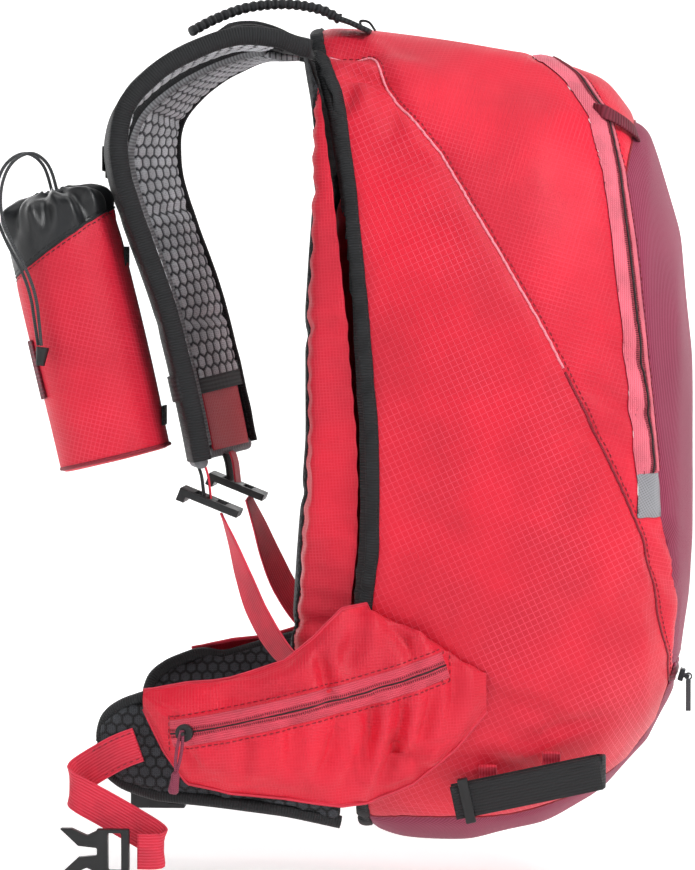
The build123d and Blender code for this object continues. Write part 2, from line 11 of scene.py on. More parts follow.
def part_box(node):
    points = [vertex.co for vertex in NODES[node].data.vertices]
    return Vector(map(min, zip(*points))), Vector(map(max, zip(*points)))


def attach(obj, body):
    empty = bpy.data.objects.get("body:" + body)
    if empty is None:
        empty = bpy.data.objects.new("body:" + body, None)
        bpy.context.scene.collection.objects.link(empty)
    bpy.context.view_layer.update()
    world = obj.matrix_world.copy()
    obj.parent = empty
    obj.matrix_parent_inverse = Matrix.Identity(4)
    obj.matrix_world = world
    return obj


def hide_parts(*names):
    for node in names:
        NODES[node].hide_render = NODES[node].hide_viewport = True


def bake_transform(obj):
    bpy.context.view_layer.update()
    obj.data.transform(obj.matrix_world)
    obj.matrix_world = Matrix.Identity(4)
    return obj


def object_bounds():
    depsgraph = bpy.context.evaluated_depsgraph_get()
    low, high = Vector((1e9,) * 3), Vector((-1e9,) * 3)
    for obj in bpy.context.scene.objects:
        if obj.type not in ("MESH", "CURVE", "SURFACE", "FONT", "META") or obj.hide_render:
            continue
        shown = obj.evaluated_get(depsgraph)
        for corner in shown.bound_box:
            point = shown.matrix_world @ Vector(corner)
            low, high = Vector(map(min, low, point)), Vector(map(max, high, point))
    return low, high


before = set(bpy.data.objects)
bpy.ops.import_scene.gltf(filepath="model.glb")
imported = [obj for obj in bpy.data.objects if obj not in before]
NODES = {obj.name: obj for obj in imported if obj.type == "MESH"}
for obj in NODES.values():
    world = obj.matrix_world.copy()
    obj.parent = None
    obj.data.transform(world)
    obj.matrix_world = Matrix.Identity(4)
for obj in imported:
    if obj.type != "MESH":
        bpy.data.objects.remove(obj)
CAD_LOW, CAD_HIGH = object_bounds()
SIDES = {"left": -1, "right": 1}
scene = bpy.context.scene

MM = 0.001
BAG_CELL = 0.0033           # size of a mesh cell on the bag's skin
SEAM_PINCH = 1.3 * MM       # how far a sewn seam is drawn in
STITCH = (2.7 * MM, 3.9 * MM, 0.32 * MM)    # stitch length, pitch and radius
CLOTH_FRAMES = 20           # frames that a cloth simulation runs for
HALF_ROOT_3 = math.sqrt(3) / 2      # height of a hexagon lattice's row, for hexagons 1 apart

# Camera: the point it looks at, its direction (degrees), distance (metres) and lens (millimetres).
CAMERA_TARGET, CAMERA_AZIMUTH, CAMERA_ELEVATION = (0.027, 0, 0), 4, 2.5
CAMERA_DISTANCE, CAMERA_LENS = 2.6, 173.4
# Studio lights: name, place, size in metres and power in watts. All look at LIT_POINT.
LIGHTS = [
    ("key_light", (0.95, -1.15, 1.25), (0.5, 0.7), 22),
    ("fill_light", (-1.3, -1.5, 0.5), (0.8, 1.4), 4),
    ("top_light", (0.1, 0.1, 1.8), (1.2, 1.0), 8),
    ("back_light", (-0.9, 1.5, 0.9), (1.0, 1.2), 6),
]
LIT_POINT = (0.04, 0, 0)
WORLD_STRENGTH = 0.08
# Backdrop, a round bowl: floor radius, bend radius, height and gap under the pack, in metres.
BOWL_FLOOR, BOWL_BEND, BOWL_HEIGHT, FLOOR_GAP = 4.2, 1.0, 3.8, 0.035
BOWL_STEPS, BOWL_SIDES = 12, 48
GLOW_FROM, GLOW_TO = (-2.5, 0.15), (2.5, 0.62)      # (y, strength) at the backdrop's near and far side


# ---------------------------------------------------------------- camera, light, floor


def point_at(thing, target):
    """Turns a camera or light to look at target."""
    thing.rotation_euler = (Vector(target) - thing.location).to_track_quat("-Z", "Y").to_euler()


def build_camera():
    """A long lens on the wearer's left, a little to the front of square on and just above level."""
    target = Vector(CAMERA_TARGET)
    azimuth, elevation = math.radians(CAMERA_AZIMUTH), math.radians(CAMERA_ELEVATION)
    level = math.cos(elevation)
    direction = Vector((math.sin(azimuth) * level, -math.cos(azimuth) * level, math.sin(elevation)))
    data = bpy.data.cameras.new("camera")
    data.lens = CAMERA_LENS
    data.sensor_width = 36
    camera = bpy.data.objects.new("camera", data)
    camera.location = target + direction * CAMERA_DISTANCE
    point_at(camera, target)
    scene.collection.objects.link(camera)
    scene.camera = camera


def softbox(name, place, size, power):
    """One rectangular studio light."""
    data = bpy.data.lights.new(name, "AREA")
    data.shape = "RECTANGLE"
    data.size, data.size_y = size
    data.energy = power
    lamp = bpy.data.objects.new(name, data)
    lamp.location = place
    point_at(lamp, LIT_POINT)
    scene.collection.objects.link(lamp)


def build_studio():
    """Soft light all round, and a pale floor that curves up into a round backdrop, which glows as painted
    light, weakly at the near side and more strongly at the far side, and also lights the pack.
    """
    world = bpy.data.worlds.new("studio")
    world.use_nodes = True
    world.node_tree.nodes["Background"].inputs["Color"].default_value = (1, 1, 1, 1)
    world.node_tree.nodes["Background"].inputs["Strength"].default_value = WORLD_STRENGTH
    scene.world = world
    scene.view_settings.view_transform = "Standard"
    for light in LIGHTS:
        softbox(*light)
    floor_z = CAD_LOW.z - FLOOR_GAP
    bend = [math.radians(90 * step / BOWL_STEPS) for step in range(BOWL_STEPS + 1)]
    profile = [(0.01, floor_z)]
    profile += [(BOWL_FLOOR + BOWL_BEND * math.sin(a), floor_z + BOWL_BEND * (1 - math.cos(a))) for a in bend]
    profile.append((BOWL_FLOOR + BOWL_BEND, floor_z + BOWL_HEIGHT))
    turn = np.radians(np.linspace(0, 360, BOWL_SIDES, endpoint=False))
    circle = np.stack([np.cos(turn), np.sin(turn), np.zeros(BOWL_SIDES)], axis=1)
    rows = [circle * radius + (0, 0, z) for radius, z in profile]
    verts, faces = loft(rows, caps=False)
    verts, faces = [tuple(v) for v in verts], faces + [tuple(range(BOWL_SIDES))[::-1]]
    mesh = bpy.data.meshes.new("studio_floor")
    mesh.from_pydata(verts, [], faces)
    mesh.shade_smooth()
    floor = bpy.data.objects.new("studio_floor", mesh)
    scene.collection.objects.link(floor)
    paper = Shader("glowing_pale_paper", (0.93, 0.93, 0.93), roughness=0.9)
    paper.colour(paper.mix(paper.noise(3), (0.93, 0.93, 0.93), (0.96, 0.96, 0.96)))
    # The paper glows: emission that paints light on the floor and backdrop, rising from the near side to the
    # far side.
    paper.feed(paper.body.inputs["Emission Color"], (1, 1, 1))
    depth = paper.split(paper.place.outputs["Object"])[1]
    glow = paper.fade(depth, GLOW_FROM[0], GLOW_TO[0], GLOW_FROM[1], GLOW_TO[1])
    paper.feed(paper.body.inputs["Emission Strength"], glow)
    mesh.materials.append(paper.material)


# ---------------------------------------------------------------- materials


def rgb(*values):
    """A linear colour from 8-bit red, green and blue display values."""
    return tuple(c / 255 / 12.92 if c < 11 else ((c / 255 + 0.055) / 1.055) ** 2.4 for c in values)


class Shader:
    """A node material round one Principled shader, with short names for the nodes that the finishes share."""

    def __init__(self, name, base, roughness=0.6, sheen=0.0, specular=0.5, metallic=0.0):
        self.material = bpy.data.materials.new(name)
        self.material.use_nodes = True
        self.tree = self.material.node_tree
        self.body = self.tree.nodes["Principled BSDF"]
        self.body.inputs["Base Color"].default_value = (*base, 1)
        self.body.inputs["Roughness"].default_value = roughness
        self.body.inputs["Sheen Weight"].default_value = sheen
        self.body.inputs["Specular IOR Level"].default_value = specular
        self.body.inputs["Metallic"].default_value = metallic
        self.material.diffuse_color = (*base, 1)
        self.place = self.node("ShaderNodeTexCoord")
        self.last_normal = None

    def feed(self, socket, value):
        if isinstance(value, bpy.types.NodeSocket):
            self.tree.links.new(value, socket)
        elif socket.type == "RGBA" and len(value) == 3:
            socket.default_value = (*value, 1)
        else:
            socket.default_value = value

    def node(self, kind, inputs=(), **settings):
        made = self.tree.nodes.new(kind)
        for key, value in settings.items():
            setattr(made, key, value)
        for key, value in dict(inputs).items():
            self.feed(made.inputs[key], value)
        return made

    def math(self, operation, *values):
        return self.node("ShaderNodeMath", enumerate(values), operation=operation).outputs[0]

    def vector(self, operation, *values):
        made = self.node("ShaderNodeVectorMath", enumerate(values), operation=operation)
        return made.outputs["Value" if operation in ("LENGTH", "DOT_PRODUCT") else "Vector"]

    def fade(self, value, low, high, to_low=0.0, to_high=1.0):
        inputs = {"Value": value, "From Min": low, "From Max": high, "To Min": to_low, "To Max": to_high}
        return self.node("ShaderNodeMapRange", inputs, interpolation_type="SMOOTHSTEP").outputs["Result"]

    def mix(self, share, first, second):
        made = self.node("ShaderNodeMix", data_type="RGBA")
        self.feed(made.inputs[0], share)
        self.feed(made.inputs[6], first)
        self.feed(made.inputs[7], second)
        return made.outputs[2]

    def noise(self, scale, detail=2.0, vector=None, distortion=0.0):
        inputs = {"Scale": scale, "Detail": detail, "Distortion": distortion}
        inputs["Vector"] = vector or self.place.outputs["Object"]
        return self.node("ShaderNodeTexNoise", inputs).outputs["Fac"]

    def worn(self, base, share, scale, detail=4, low=0.3, high=0.7, add=0.0):
        """base, turning in soft patches to share of itself."""
        patches = self.fade(self.noise(scale, detail), low, high)
        return self.mix(patches, base, tuple(c * share + add for c in base))

    def split(self, vector):
        return self.node("ShaderNodeSeparateXYZ", {0: vector}).outputs

    def turned(self, vector, degrees, axis="Y_AXIS"):
        inputs = {"Vector": vector, "Angle": math.radians(degrees)}
        return self.node("ShaderNodeVectorRotate", inputs, rotation_type=axis).outputs[0]

    def lines(self, value, pitch, width):
        """1 on lines every pitch along value, falling to 0 at width from them."""
        return self.fade(self.math("PINGPONG", value, pitch / 2), 0.0, width, 1.0, 0.0)

    def colour(self, value):
        self.feed(self.body.inputs["Base Color"], value)

    def roughness(self, value):
        self.feed(self.body.inputs["Roughness"], value)

    def bump(self, height, distance, strength=1.0):
        inputs = {"Height": height, "Distance": distance, "Strength": strength}
        if self.last_normal:
            inputs["Normal"] = self.last_normal
        self.last_normal = self.node("ShaderNodeBump", inputs).outputs[0]
        self.feed(self.body.inputs["Normal"], self.last_normal)

    def grid(self, pitch, width, turn):
        """A ripstop grid: lines square to each turned axis, hidden where the cloth faces along that axis."""
        place = self.split(self.turned(self.place.outputs["Object"], turn))
        facing = self.split(self.turned(self.place.outputs["Normal"], turn))
        found = None
        for axis in range(3):
            line = self.lines(place[axis], pitch, width)
            shown = self.fade(self.math("ABSOLUTE", facing[axis]), 0.45, 0.85, 1.0, 0.0)
            line = self.math("MULTIPLY", line, shown)
            found = self.math("MAXIMUM", found, line) if found else line
        return found


def ripstop(name, base, line, pitch=3.6, turn=25, contrast=0.5, roughness=0.46, sheen=0.06):
    """Coated ripstop nylon: a fine plain weave under a raised reinforcing grid."""
    shade = Shader(name, base, roughness, sheen, 0.28)
    grid = shade.grid(pitch * MM, 0.42 * MM, turn)
    weave = shade.grid(0.9 * MM, 0.4 * MM, turn)
    worn = shade.worn(base, 0.74, 14)
    fine = shade.mix(shade.math("MULTIPLY", weave, 0.16), worn, line)
    patchy = shade.fade(shade.noise(22, 2), 0.25, 0.75, 0.35, 1.0)
    strength = shade.math("MULTIPLY", shade.math("MULTIPLY", grid, contrast), patchy)
    shade.colour(shade.mix(strength, fine, line))
    shade.roughness(shade.fade(shade.noise(30, 3), 0.2, 0.8, roughness - 0.06, roughness + 0.1))
    shade.bump(grid, 0.25 * MM, 0.6)
    shade.bump(weave, 0.1 * MM, 0.5)
    shade.bump(shade.noise(160, 3, distortion=0.6), 0.5 * MM, 0.35)
    return shade.material


def stretch_weave(name, base, line):
    """Two-way stretch fabric with fine slanted ribs."""
    shade = Shader(name, base, 0.62, 0.08, 0.35)
    place = shade.split(shade.turned(shade.place.outputs["Object"], -12))
    along = shade.math("ADD", place[0], shade.math("MULTIPLY", place[1], 0.9))
    rib = shade.lines(along, 2.1 * MM, 0.75 * MM)
    twill = shade.lines(shade.math("ADD", along, place[2]), 0.9 * MM, 0.35 * MM)
    tone = shade.worn(base, 0.8, 11)
    tone = shade.mix(shade.math("MULTIPLY", twill, 0.15), tone, line)
    shade.colour(shade.mix(shade.math("MULTIPLY", rib, 0.42), tone, line))
    shade.bump(rib, 0.25 * MM, 0.7)
    shade.bump(twill, 0.1 * MM, 0.5)
    return shade.material


def webbing(name, base, line, rib=1.7, roughness=0.6, sheen=0.05):
    """Woven tape: ribs along its length, crossed by the weft. Its UV map is in metres, across and along."""
    shade = Shader(name, base, roughness, sheen, 0.4)
    across, along = shade.split(shade.place.outputs["UV"])[:2]
    ribs = shade.lines(across, rib * MM, 0.5 * rib * MM)
    slant = shade.math("ADD", along, shade.math("PINGPONG", across, rib * MM))
    weft = shade.lines(slant, 1.1 * MM, 0.45 * MM)
    worn = shade.worn(base, 0.7, 60, high=0.75)
    shade.colour(shade.mix(shade.math("MULTIPLY", ribs, 0.35), worn, line))
    shade.bump(ribs, 0.35 * MM, 0.8)
    shade.bump(weft, 0.2 * MM, 0.7)
    return shade.material


def ribbed(name, base, line, pitch=1.6, roughness=0.65):
    """Grosgrain binding and shirred elastic: ribs square to its length."""
    shade = Shader(name, base, roughness, 0.03, 0.35)
    across, along = shade.split(shade.place.outputs["UV"])[:2]
    ribs = shade.lines(along, pitch * MM, 0.5 * pitch * MM)
    fine = shade.lines(across, 0.8 * MM, 0.35 * MM)
    tone = shade.worn(base, 0.65, 70, 3, 0.35)
    shade.colour(shade.mix(shade.math("MULTIPLY", ribs, 0.4), tone, line))
    shade.bump(ribs, 0.35 * MM, 0.8)
    shade.bump(fine, 0.12 * MM, 0.5)
    return shade.material


def spacer_mesh(name, pad, gap, cell=9.0):
    """Three-layer mesh with padded hexagons. Its UV map is in metres."""
    shade = Shader(name, pad, 0.75, 0.06, 0.3)
    scaled = shade.vector("MULTIPLY", shade.place.outputs["UV"], (1 / (cell * MM),) * 3)
    high, low = (0.5, HALF_ROOT_3, 1), (-0.5, -HALF_ROOT_3, 0)
    first = shade.vector("WRAP", scaled, high, low)
    second = shade.vector("WRAP", shade.vector("SUBTRACT", scaled, (0.5, HALF_ROOT_3, 0)), high, low)
    nearer = shade.math("LESS_THAN", shade.vector("LENGTH", second), shade.vector("LENGTH", first))
    chosen = shade.node("ShaderNodeMix", data_type="VECTOR")
    shade.feed(chosen.inputs[0], nearer)
    shade.feed(chosen.inputs[4], first)
    shade.feed(chosen.inputs[5], second)
    offset = shade.split(shade.vector("ABSOLUTE", chosen.outputs[1]))
    slanted = shade.math("ADD", shade.math("MULTIPLY", offset[0], 0.5),
                         shade.math("MULTIPLY", offset[1], HALF_ROOT_3))
    reach = shade.math("MAXIMUM", offset[0], slanted)
    inputs = {"Vector": shade.place.outputs["UV"], "Scale": 1 / (1.3 * MM), "Randomness": 0.35}
    holes = shade.node("ShaderNodeTexVoronoi", inputs).outputs["Distance"]
    knit = shade.fade(holes, 0.15, 0.5)
    tone = shade.worn(pad, 0.72, 45)
    tone = shade.mix(shade.fade(reach, 0.30, 0.48), tone, gap)
    shade.colour(shade.mix(shade.math("MULTIPLY", shade.math("SUBTRACT", 1.0, knit), 0.4), tone, gap))
    shade.bump(knit, 0.4 * MM, 0.8)
    return shade.material


def coated(name, base, roughness):
    """Smooth coated cloth that creases finely."""
    shade = Shader(name, base, roughness, 0.1, 0.5)
    weave = shade.grid(0.9 * MM, 0.4 * MM, 13)
    shade.colour(shade.worn(base, 0.6, 40, add=0.004))
    shade.bump(weave, 0.1 * MM, 0.5)
    shade.bump(shade.noise(90, 3, distortion=0.8), 0.8 * MM, 0.4)
    return shade.material


def moulded(name, base, roughness=0.42, metallic=0.0):
    """Moulded plastic or plated metal: fine grain, scuffed where it is handled."""
    shade = Shader(name, base, roughness, 0.0, 0.5, metallic)
    scuff = shade.fade(shade.noise(55, 6), 0.5, 0.8)
    shade.colour(shade.mix(shade.math("MULTIPLY", scuff, 0.5), base, tuple(c * 1.8 + 0.01 for c in base)))
    shade.roughness(shade.fade(shade.noise(120, 4), 0.3, 0.7, roughness - 0.08, roughness + 0.14))
    shade.bump(shade.noise(1400, 2), 0.12 * MM, 0.5)
    return shade.material


def glass_bead(name):
    """Grey reflective film with a printed dot lattice."""
    shade = Shader(name, rgb(118, 118, 122), 0.32, 0.0, 0.8)
    dots = shade.grid(1.4 * MM, 0.5 * MM, 30)
    shade.colour(shade.mix(dots, rgb(112, 112, 116), rgb(150, 150, 155)))
    shade.bump(dots, 0.1 * MM, 0.5)
    return shade.material


def braid(name, base, line):
    """Braided cord: two crossing spirals of yarn."""
    shade = Shader(name, base, 0.55, 0.06, 0.4)
    place = shade.split(shade.place.outputs["Object"])
    one = shade.lines(shade.math("ADD", place[2], place[0]), 1.2 * MM, 0.4 * MM)
    two = shade.lines(shade.math("SUBTRACT", place[2], place[1]), 1.2 * MM, 0.4 * MM)
    yarn = shade.math("MAXIMUM", one, two)
    shade.colour(shade.mix(shade.math("MULTIPLY", yarn, 0.5), base, line))
    shade.bump(yarn, 0.2 * MM, 0.8)
    return shade.material


def build_finishes():
    """Every finish of the pack, by name: its material and the record's slot that it belongs to."""
    red, pink = rgb(222, 8, 40), rgb(250, 92, 118)
    black = rgb(16, 17, 19)
    return {
        "ripstop_side": (ripstop("ripstop_side", red, pink, 3.6, 25, 0.5), "ripstop_red"),
        "ripstop_top": (ripstop("ripstop_top", rgb(226, 12, 44), pink, 2.6, -16, 0.28), "ripstop_red"),
        "ripstop_pocket": (ripstop("ripstop_pocket", red, pink, 1.9, 4, 0.2, 0.42), "ripstop_red"),
        "ripstop_holder": (ripstop("ripstop_holder", rgb(224, 12, 44), pink, 2.6, -HOLDER_TILT, 0.34),
                           "ripstop_red"),
        "berry": (stretch_weave("berry_stretch", rgb(134, 34, 66), rgb(186, 84, 118)), "stretch_berry"),
        "binding": (ribbed("black_binding", black, rgb(44, 46, 50)), "binding_black"),
        # The strap lining's grey mesh pads are coloured near white, painted light standing in for the direct
        # light on them.
        "hex_mesh_painted_light": (spacer_mesh("grey_hex_mesh_painted_light", rgb(226, 229, 234), rgb(58, 61, 66)), "mesh_grey"),
        "dark_mesh": (spacer_mesh("dark_hex_mesh", rgb(58, 60, 65), rgb(9, 9, 11), 7.0), "mesh_grey"),
        "rolled_edge": (ribbed("rolled_grey_edge", rgb(112, 114, 118), rgb(190, 190, 192), 2.2), "mesh_grey"),
        "strap_cloth": (ribbed("black_strap_cloth", rgb(19, 20, 22), rgb(42, 44, 48), 1.2), "strap_black"),
        "red_webbing": (webbing("red_webbing", rgb(222, 24, 54), rgb(246, 96, 120)), "webbing_red"),
        "black_webbing": (webbing("black_webbing", black, rgb(46, 48, 52)), "webbing_black"),
        "burgundy_webbing": (ribbed("burgundy_webbing", rgb(96, 16, 36), rgb(150, 50, 72), 2.4),
                             "webbing_red"),
        # The main zip's tape is coloured light pink, a painted sheen over coral tape.
        "tape_painted_sheen": (webbing("zip_tape_painted_sheen", rgb(242, 104, 124), rgb(255, 150, 166), 1.2), "zip_pink"),
        "red_tape": (webbing("red_zip_tape", rgb(222, 58, 82), rgb(250, 110, 130), 1.2), "zip_red"),
        "coil": (moulded("zip_coil", rgb(122, 22, 42), 0.4), "zip_red"),
        "slit": (moulded("zip_slit", rgb(30, 6, 12), 0.6), "zip_red"),
        "patch": (glass_bead("reflective_film"), "reflective"),
        "plastic": (moulded("black_plastic", rgb(18, 19, 21)), "plastic_black"),
        "metal": (moulded("dark_metal", rgb(52, 53, 56), 0.35, 0.8), "metal"),
        "grey_pull": (moulded("grey_pull_rubber", rgb(60, 62, 66), 0.55), "metal"),
        "elastic": (ribbed("shirred_elastic", rgb(20, 21, 23), rgb(66, 68, 72), 2.6), "elastic_black"),
        "collar": (coated("black_collar_cloth", rgb(24, 26, 29), 0.34), "collar_black"),
        "cord": (braid("black_cord", rgb(32, 33, 35), rgb(96, 98, 102)), "cord_grey"),
        "berry_cord": (braid("berry_cord", rgb(110, 26, 52), rgb(176, 80, 108)), "pull_berry"),
        "thread": (braid("dark_red_thread", rgb(120, 10, 30), rgb(180, 40, 64)), "ripstop_red"),
        # A pale pink cord that paints the highlight along the top of the diagonal seam's fold.
        "seam_painted_highlight": (braid("seam_painted_highlight", rgb(240, 130, 146), rgb(255, 176, 188)), "ripstop_red"),
        "black_thread": (braid("black_thread", rgb(12, 12, 14), rgb(48, 50, 54)), "strap_black"),
    }


# ---------------------------------------------------------------- mesh tools


def unit(rows):
    return rows / np.maximum(np.linalg.norm(rows, axis=1, keepdims=True), 1e-12)


def build(name, verts, faces, finish, body=None, stands_for=(), uv=None, smooth=True):
    """A mesh piece with its finish. body is where it rides; without one the caller blends it."""
    material, slot = FINISHES[finish]
    mesh = bpy.data.meshes.new(name)
    mesh.from_pydata([tuple(v) for v in verts], [], [tuple(int(i) for i in f) for f in faces])
    if uv is not None:
        layer = mesh.uv_layers.new(name="UVMap")
        loops = np.zeros(len(mesh.loops), int)
        mesh.loops.foreach_get("vertex_index", loops)
        layer.data.foreach_set("uv", np.asarray(uv, np.float32)[loops].ravel())
    mesh.materials.append(material)
    if smooth:
        mesh.shade_smooth()
    piece = bpy.data.objects.new(name, mesh)
    scene.collection.objects.link(piece)
    if body:
        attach(piece, body)
    if stands_for:
        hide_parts(*stands_for)
    return piece


def tree_of(names):
    """A search tree over the meshes of these CAD nodes."""
    verts, faces = [], []
    for name in names:
        mesh = NODES[name].data
        start = len(verts)
        verts += [v.co.copy() for v in mesh.vertices]
        faces += [[i + start for i in p.vertices] for p in mesh.polygons]
    return BVHTree.FromPolygons(verts, faces)


def hull_tree(names):
    """A search tree over the convex hull of these CAD nodes."""
    bm = bmesh.new()
    for name in names:
        for v in NODES[name].data.vertices:
            bm.verts.new(v.co)
    bmesh.ops.remove_doubles(bm, verts=bm.verts, dist=1e-5)
    bmesh.ops.convex_hull(bm, input=bm.verts)
    tree = BVHTree.FromBMesh(bm)
    bm.free()
    return tree


def smooth_line(points, step):
    """Rows about every step along a smooth curve through the rows of points."""
    p = np.array(points, float)
    p = np.vstack([2 * p[0] - p[1], p, 2 * p[-1] - p[-2]])
    rows = []
    for a, b, c, d in zip(p, p[1:], p[2:], p[3:]):
        count = max(2, round(float(np.linalg.norm((c - b)[:3])) / step))
        t = (np.arange(count) / count)[:, None]
        cubic = (-a + 3 * b - 3 * c + d) * t ** 3 + (2 * a - 5 * b + 4 * c - d) * t ** 2
        rows.append(0.5 * (cubic + (c - a) * t + 2 * b))
    rows.append(p[-2][None])
    return np.vstack(rows)


def flat_line(pairs):
    """A smooth line in metres through pairs of numbers in millimetres, with a third column of 0."""
    return smooth_line(np.hstack([np.array(pairs), np.zeros((len(pairs), 1))]) * MM, 2.0 * MM)


def loft(rows, wrap=True, caps=True):
    """Vertices and faces through rows of points; wrap closes each row on itself."""
    rows = np.asarray(rows)
    n, m = rows.shape[:2]
    faces = []
    for i in range(n - 1):
        for j in range(m if wrap else m - 1):
            k = (j + 1) % m
            faces.append((i * m + j, i * m + k, (i + 1) * m + k, (i + 1) * m + j))
    if wrap and caps:
        faces.append(tuple(range(m))[::-1])
        faces.append(tuple(range((n - 1) * m, n * m)))
    return rows.reshape(-1, 3), faces


def superellipse(width, thickness, count=28, exponent=7.0):
    """A rounded flat section as (across, out) pairs."""
    section = []
    for step in range(count):
        angle = 2 * math.pi * (step + 0.5) / count
        c, s = math.cos(angle), math.sin(angle)
        u = width / 2 * math.copysign(abs(c) ** (2 / exponent), c)
        section.append((u, thickness / 2 * math.copysign(abs(s) ** (2 / exponent), s)))
    return np.array(section)


def frames(points, across=None):
    """Along, across and out directions at each point; without across, the width stands on edge."""
    along = unit(np.gradient(points, axis=0))
    if across is None:
        level = np.stack([-along[:, 1], along[:, 0], np.zeros(len(along))], axis=1)
        across = np.cross(along, unit(level))
    across = unit(across - along * np.sum(across * along, axis=1, keepdims=True))
    return along, across, np.cross(along, across)


def distance_along(points):
    return np.concatenate([[0], np.cumsum(np.linalg.norm(np.diff(points, axis=0), axis=1))])


def band(name, points, width, thickness, finish, body=None, stands_for=(), across=None, step=2.0,
         section=None, shift=None, offset=0.0):
    """A flat strap along points, all in millimetres.

    Its section is (across, out) pairs. shift(sections, distances, centres) says how far each pair moves.
    """
    rows = np.array(points, float) * MM
    if across is not None:
        rows = np.hstack([rows, np.array(across, float)])
    rows = smooth_line(rows, step * MM)
    centre = rows[:, :3]
    _, side, out = frames(centre, rows[:, 3:6] if across is not None else None)
    run = distance_along(centre)
    section = superellipse(width, thickness) if section is None else section
    section = np.array(section, float) * MM
    shape = np.repeat(section[None], len(centre), axis=0)
    if shift is not None:
        shape = shape + shift(shape, run, centre)
    shape[:, :, 1] += offset * MM
    verts = centre[:, None] + side[:, None] * shape[:, :, :1] + out[:, None] * shape[:, :, 1:]
    uv = np.stack([shape[:, :, 0], np.repeat(run[:, None], len(section), axis=1)], axis=2)
    verts, faces = loft(verts)
    return build(name, verts, faces, finish, body, stands_for, uv.reshape(-1, 2))


def tube(points, radius, sides=10, closed=False, flat=1.0, normals=None, squeeze=None):
    """Rows of a round or flattened tube along points in metres."""
    points = np.asarray(points, float)
    if closed:
        along = unit(np.roll(points, -1, 0) - np.roll(points, 1, 0))
    else:
        along = unit(np.gradient(points, axis=0))
    if normals is None:
        normals = np.tile([0.0, -1.0, 0.0], (len(points), 1))
        flip = np.abs(along[:, 1]) > 0.95
        normals[flip] = (0, 0, 1)
    out = unit(normals - along * np.sum(normals * along, axis=1, keepdims=True))
    side = np.cross(along, out)
    angle = 2 * math.pi * np.arange(sides) / sides
    size = np.full(len(points), radius) if squeeze is None else radius * squeeze
    ring = side[:, None] * np.cos(angle)[None, :, None] + flat * out[:, None] * np.sin(angle)[None, :, None]
    return points[:, None] + ring * size[:, None, None]


def tube_piece(name, points, radius, finish, body=None, stands_for=(), closed=False, **shape):
    """A tube as a piece, with a UV map round and along it."""
    rows = tube(points, radius, closed=closed, **shape)
    if closed:
        rows = np.vstack([rows, rows[:1]])
    run = distance_along(rows.mean(axis=1))
    turn = np.linspace(0, 2 * math.pi * radius, rows.shape[1])
    uv = np.stack(np.meshgrid(turn, run), axis=2)
    verts, faces = loft(rows, caps=not closed)
    return build(name, verts, faces, finish, body, stands_for, uv.reshape(-1, 2))


def resample(points, pitch, extra=None):
    """Points every pitch along a line, with extra columns carried along."""
    run = distance_along(points)
    count = max(2, int(run[-1] / pitch))
    at = (np.arange(count) + 0.5) * run[-1] / count
    columns = points if extra is None else np.hstack([points, extra])
    return np.stack([np.interp(at, run, columns[:, k]) for k in range(columns.shape[1])], axis=1)


def stitch_rows(lines, length=STITCH[0], pitch=STITCH[1], radius=STITCH[2], crossways=False):
    """One small raised stitch at each pitch along lines of (points, normals)."""
    verts, faces = [], []
    profile = [(-0.5, 0.25, -0.5), (-0.3, 0.9, 0.35), (0.3, 0.9, 0.35), (0.5, 0.25, -0.5)]
    corners = [(-1, 0), (0, 1), (1, 0), (0, -1)]
    for points, normals in lines:
        rows = resample(points, pitch, normals)
        centre = rows[:, :3]
        along, out = unit(np.gradient(centre, axis=0)), unit(rows[:, 3:6])
        side = np.cross(along, out)
        if crossways:
            along, side = side, along
        for p, a, s, o in zip(centre, along, side, out):
            start = len(verts)
            for t, size, lift in profile:
                for u, v in corners:
                    verts.append(p + a * t * length + (s * u + o * v) * radius * size + o * lift * radius)
            for ring in range(3):
                for k in range(4):
                    low, high = start + ring * 4, start + ring * 4 + 4
                    faces.append((low + k, low + (k + 1) % 4, high + (k + 1) % 4, high + k))
            faces.append((start + 3, start + 2, start + 1, start))
            faces.append((start + 12, start + 13, start + 14, start + 15))
    return verts, faces


def stitches(name, lines, finish, body=None, **sizes):
    verts, faces = stitch_rows(lines, **sizes)
    return build(name, verts, faces, finish, body)


def ripple(points, scale, seed, detail=0):
    """Smooth noise at each point, about -1 to 1; scale is waves per metre, one value or one for each axis."""
    scale = np.ones(3) * scale
    offset = np.array([seed * 7.31, seed * 3.17, seed * 5.93])
    value = np.array([noise.noise(Vector(p)) for p in points * scale + offset])
    if detail:
        value = value + 0.5 * ripple(points, scale * 2.1, seed + 1, detail - 1)
    return value


def creases(points, facing, folds):
    """Depth of a set of folds seen from the side: each runs between two (x, z) points in millimetres."""
    depth = np.zeros(len(points))
    flat = points[:, [0, 2]] / MM
    for x1, z1, x2, z2, width, height in folds:
        a, d = np.array([x1, z1], float), np.array([x2 - x1, z2 - z1], float)
        t = np.clip((flat - a) @ d / (d @ d), -0.15, 1.15)
        bow = 0.06 * np.linalg.norm(d) * np.sin(math.pi * np.clip(t, 0, 1))
        side = (flat - a) @ np.array([-d[1], d[0]]) / np.linalg.norm(d) - bow
        ends = np.linalg.norm(flat - a - t[:, None] * d, axis=1) - np.abs(side + bow)
        taper = np.clip(np.sin(math.pi * np.clip(t * 0.8 + 0.15, 0, 1)), 0, 1)
        fall = np.exp(-(side / width) ** 2 - (np.maximum(ends, 0) / 12) ** 2)
        lip = np.exp(-((side - 1.9 * width) / (1.3 * width)) ** 2) * 0.45
        depth += height * MM * taper * (fall - lip * np.exp(-(np.maximum(ends, 0) / 12) ** 2))
    return depth * np.clip(facing, 0, 1)


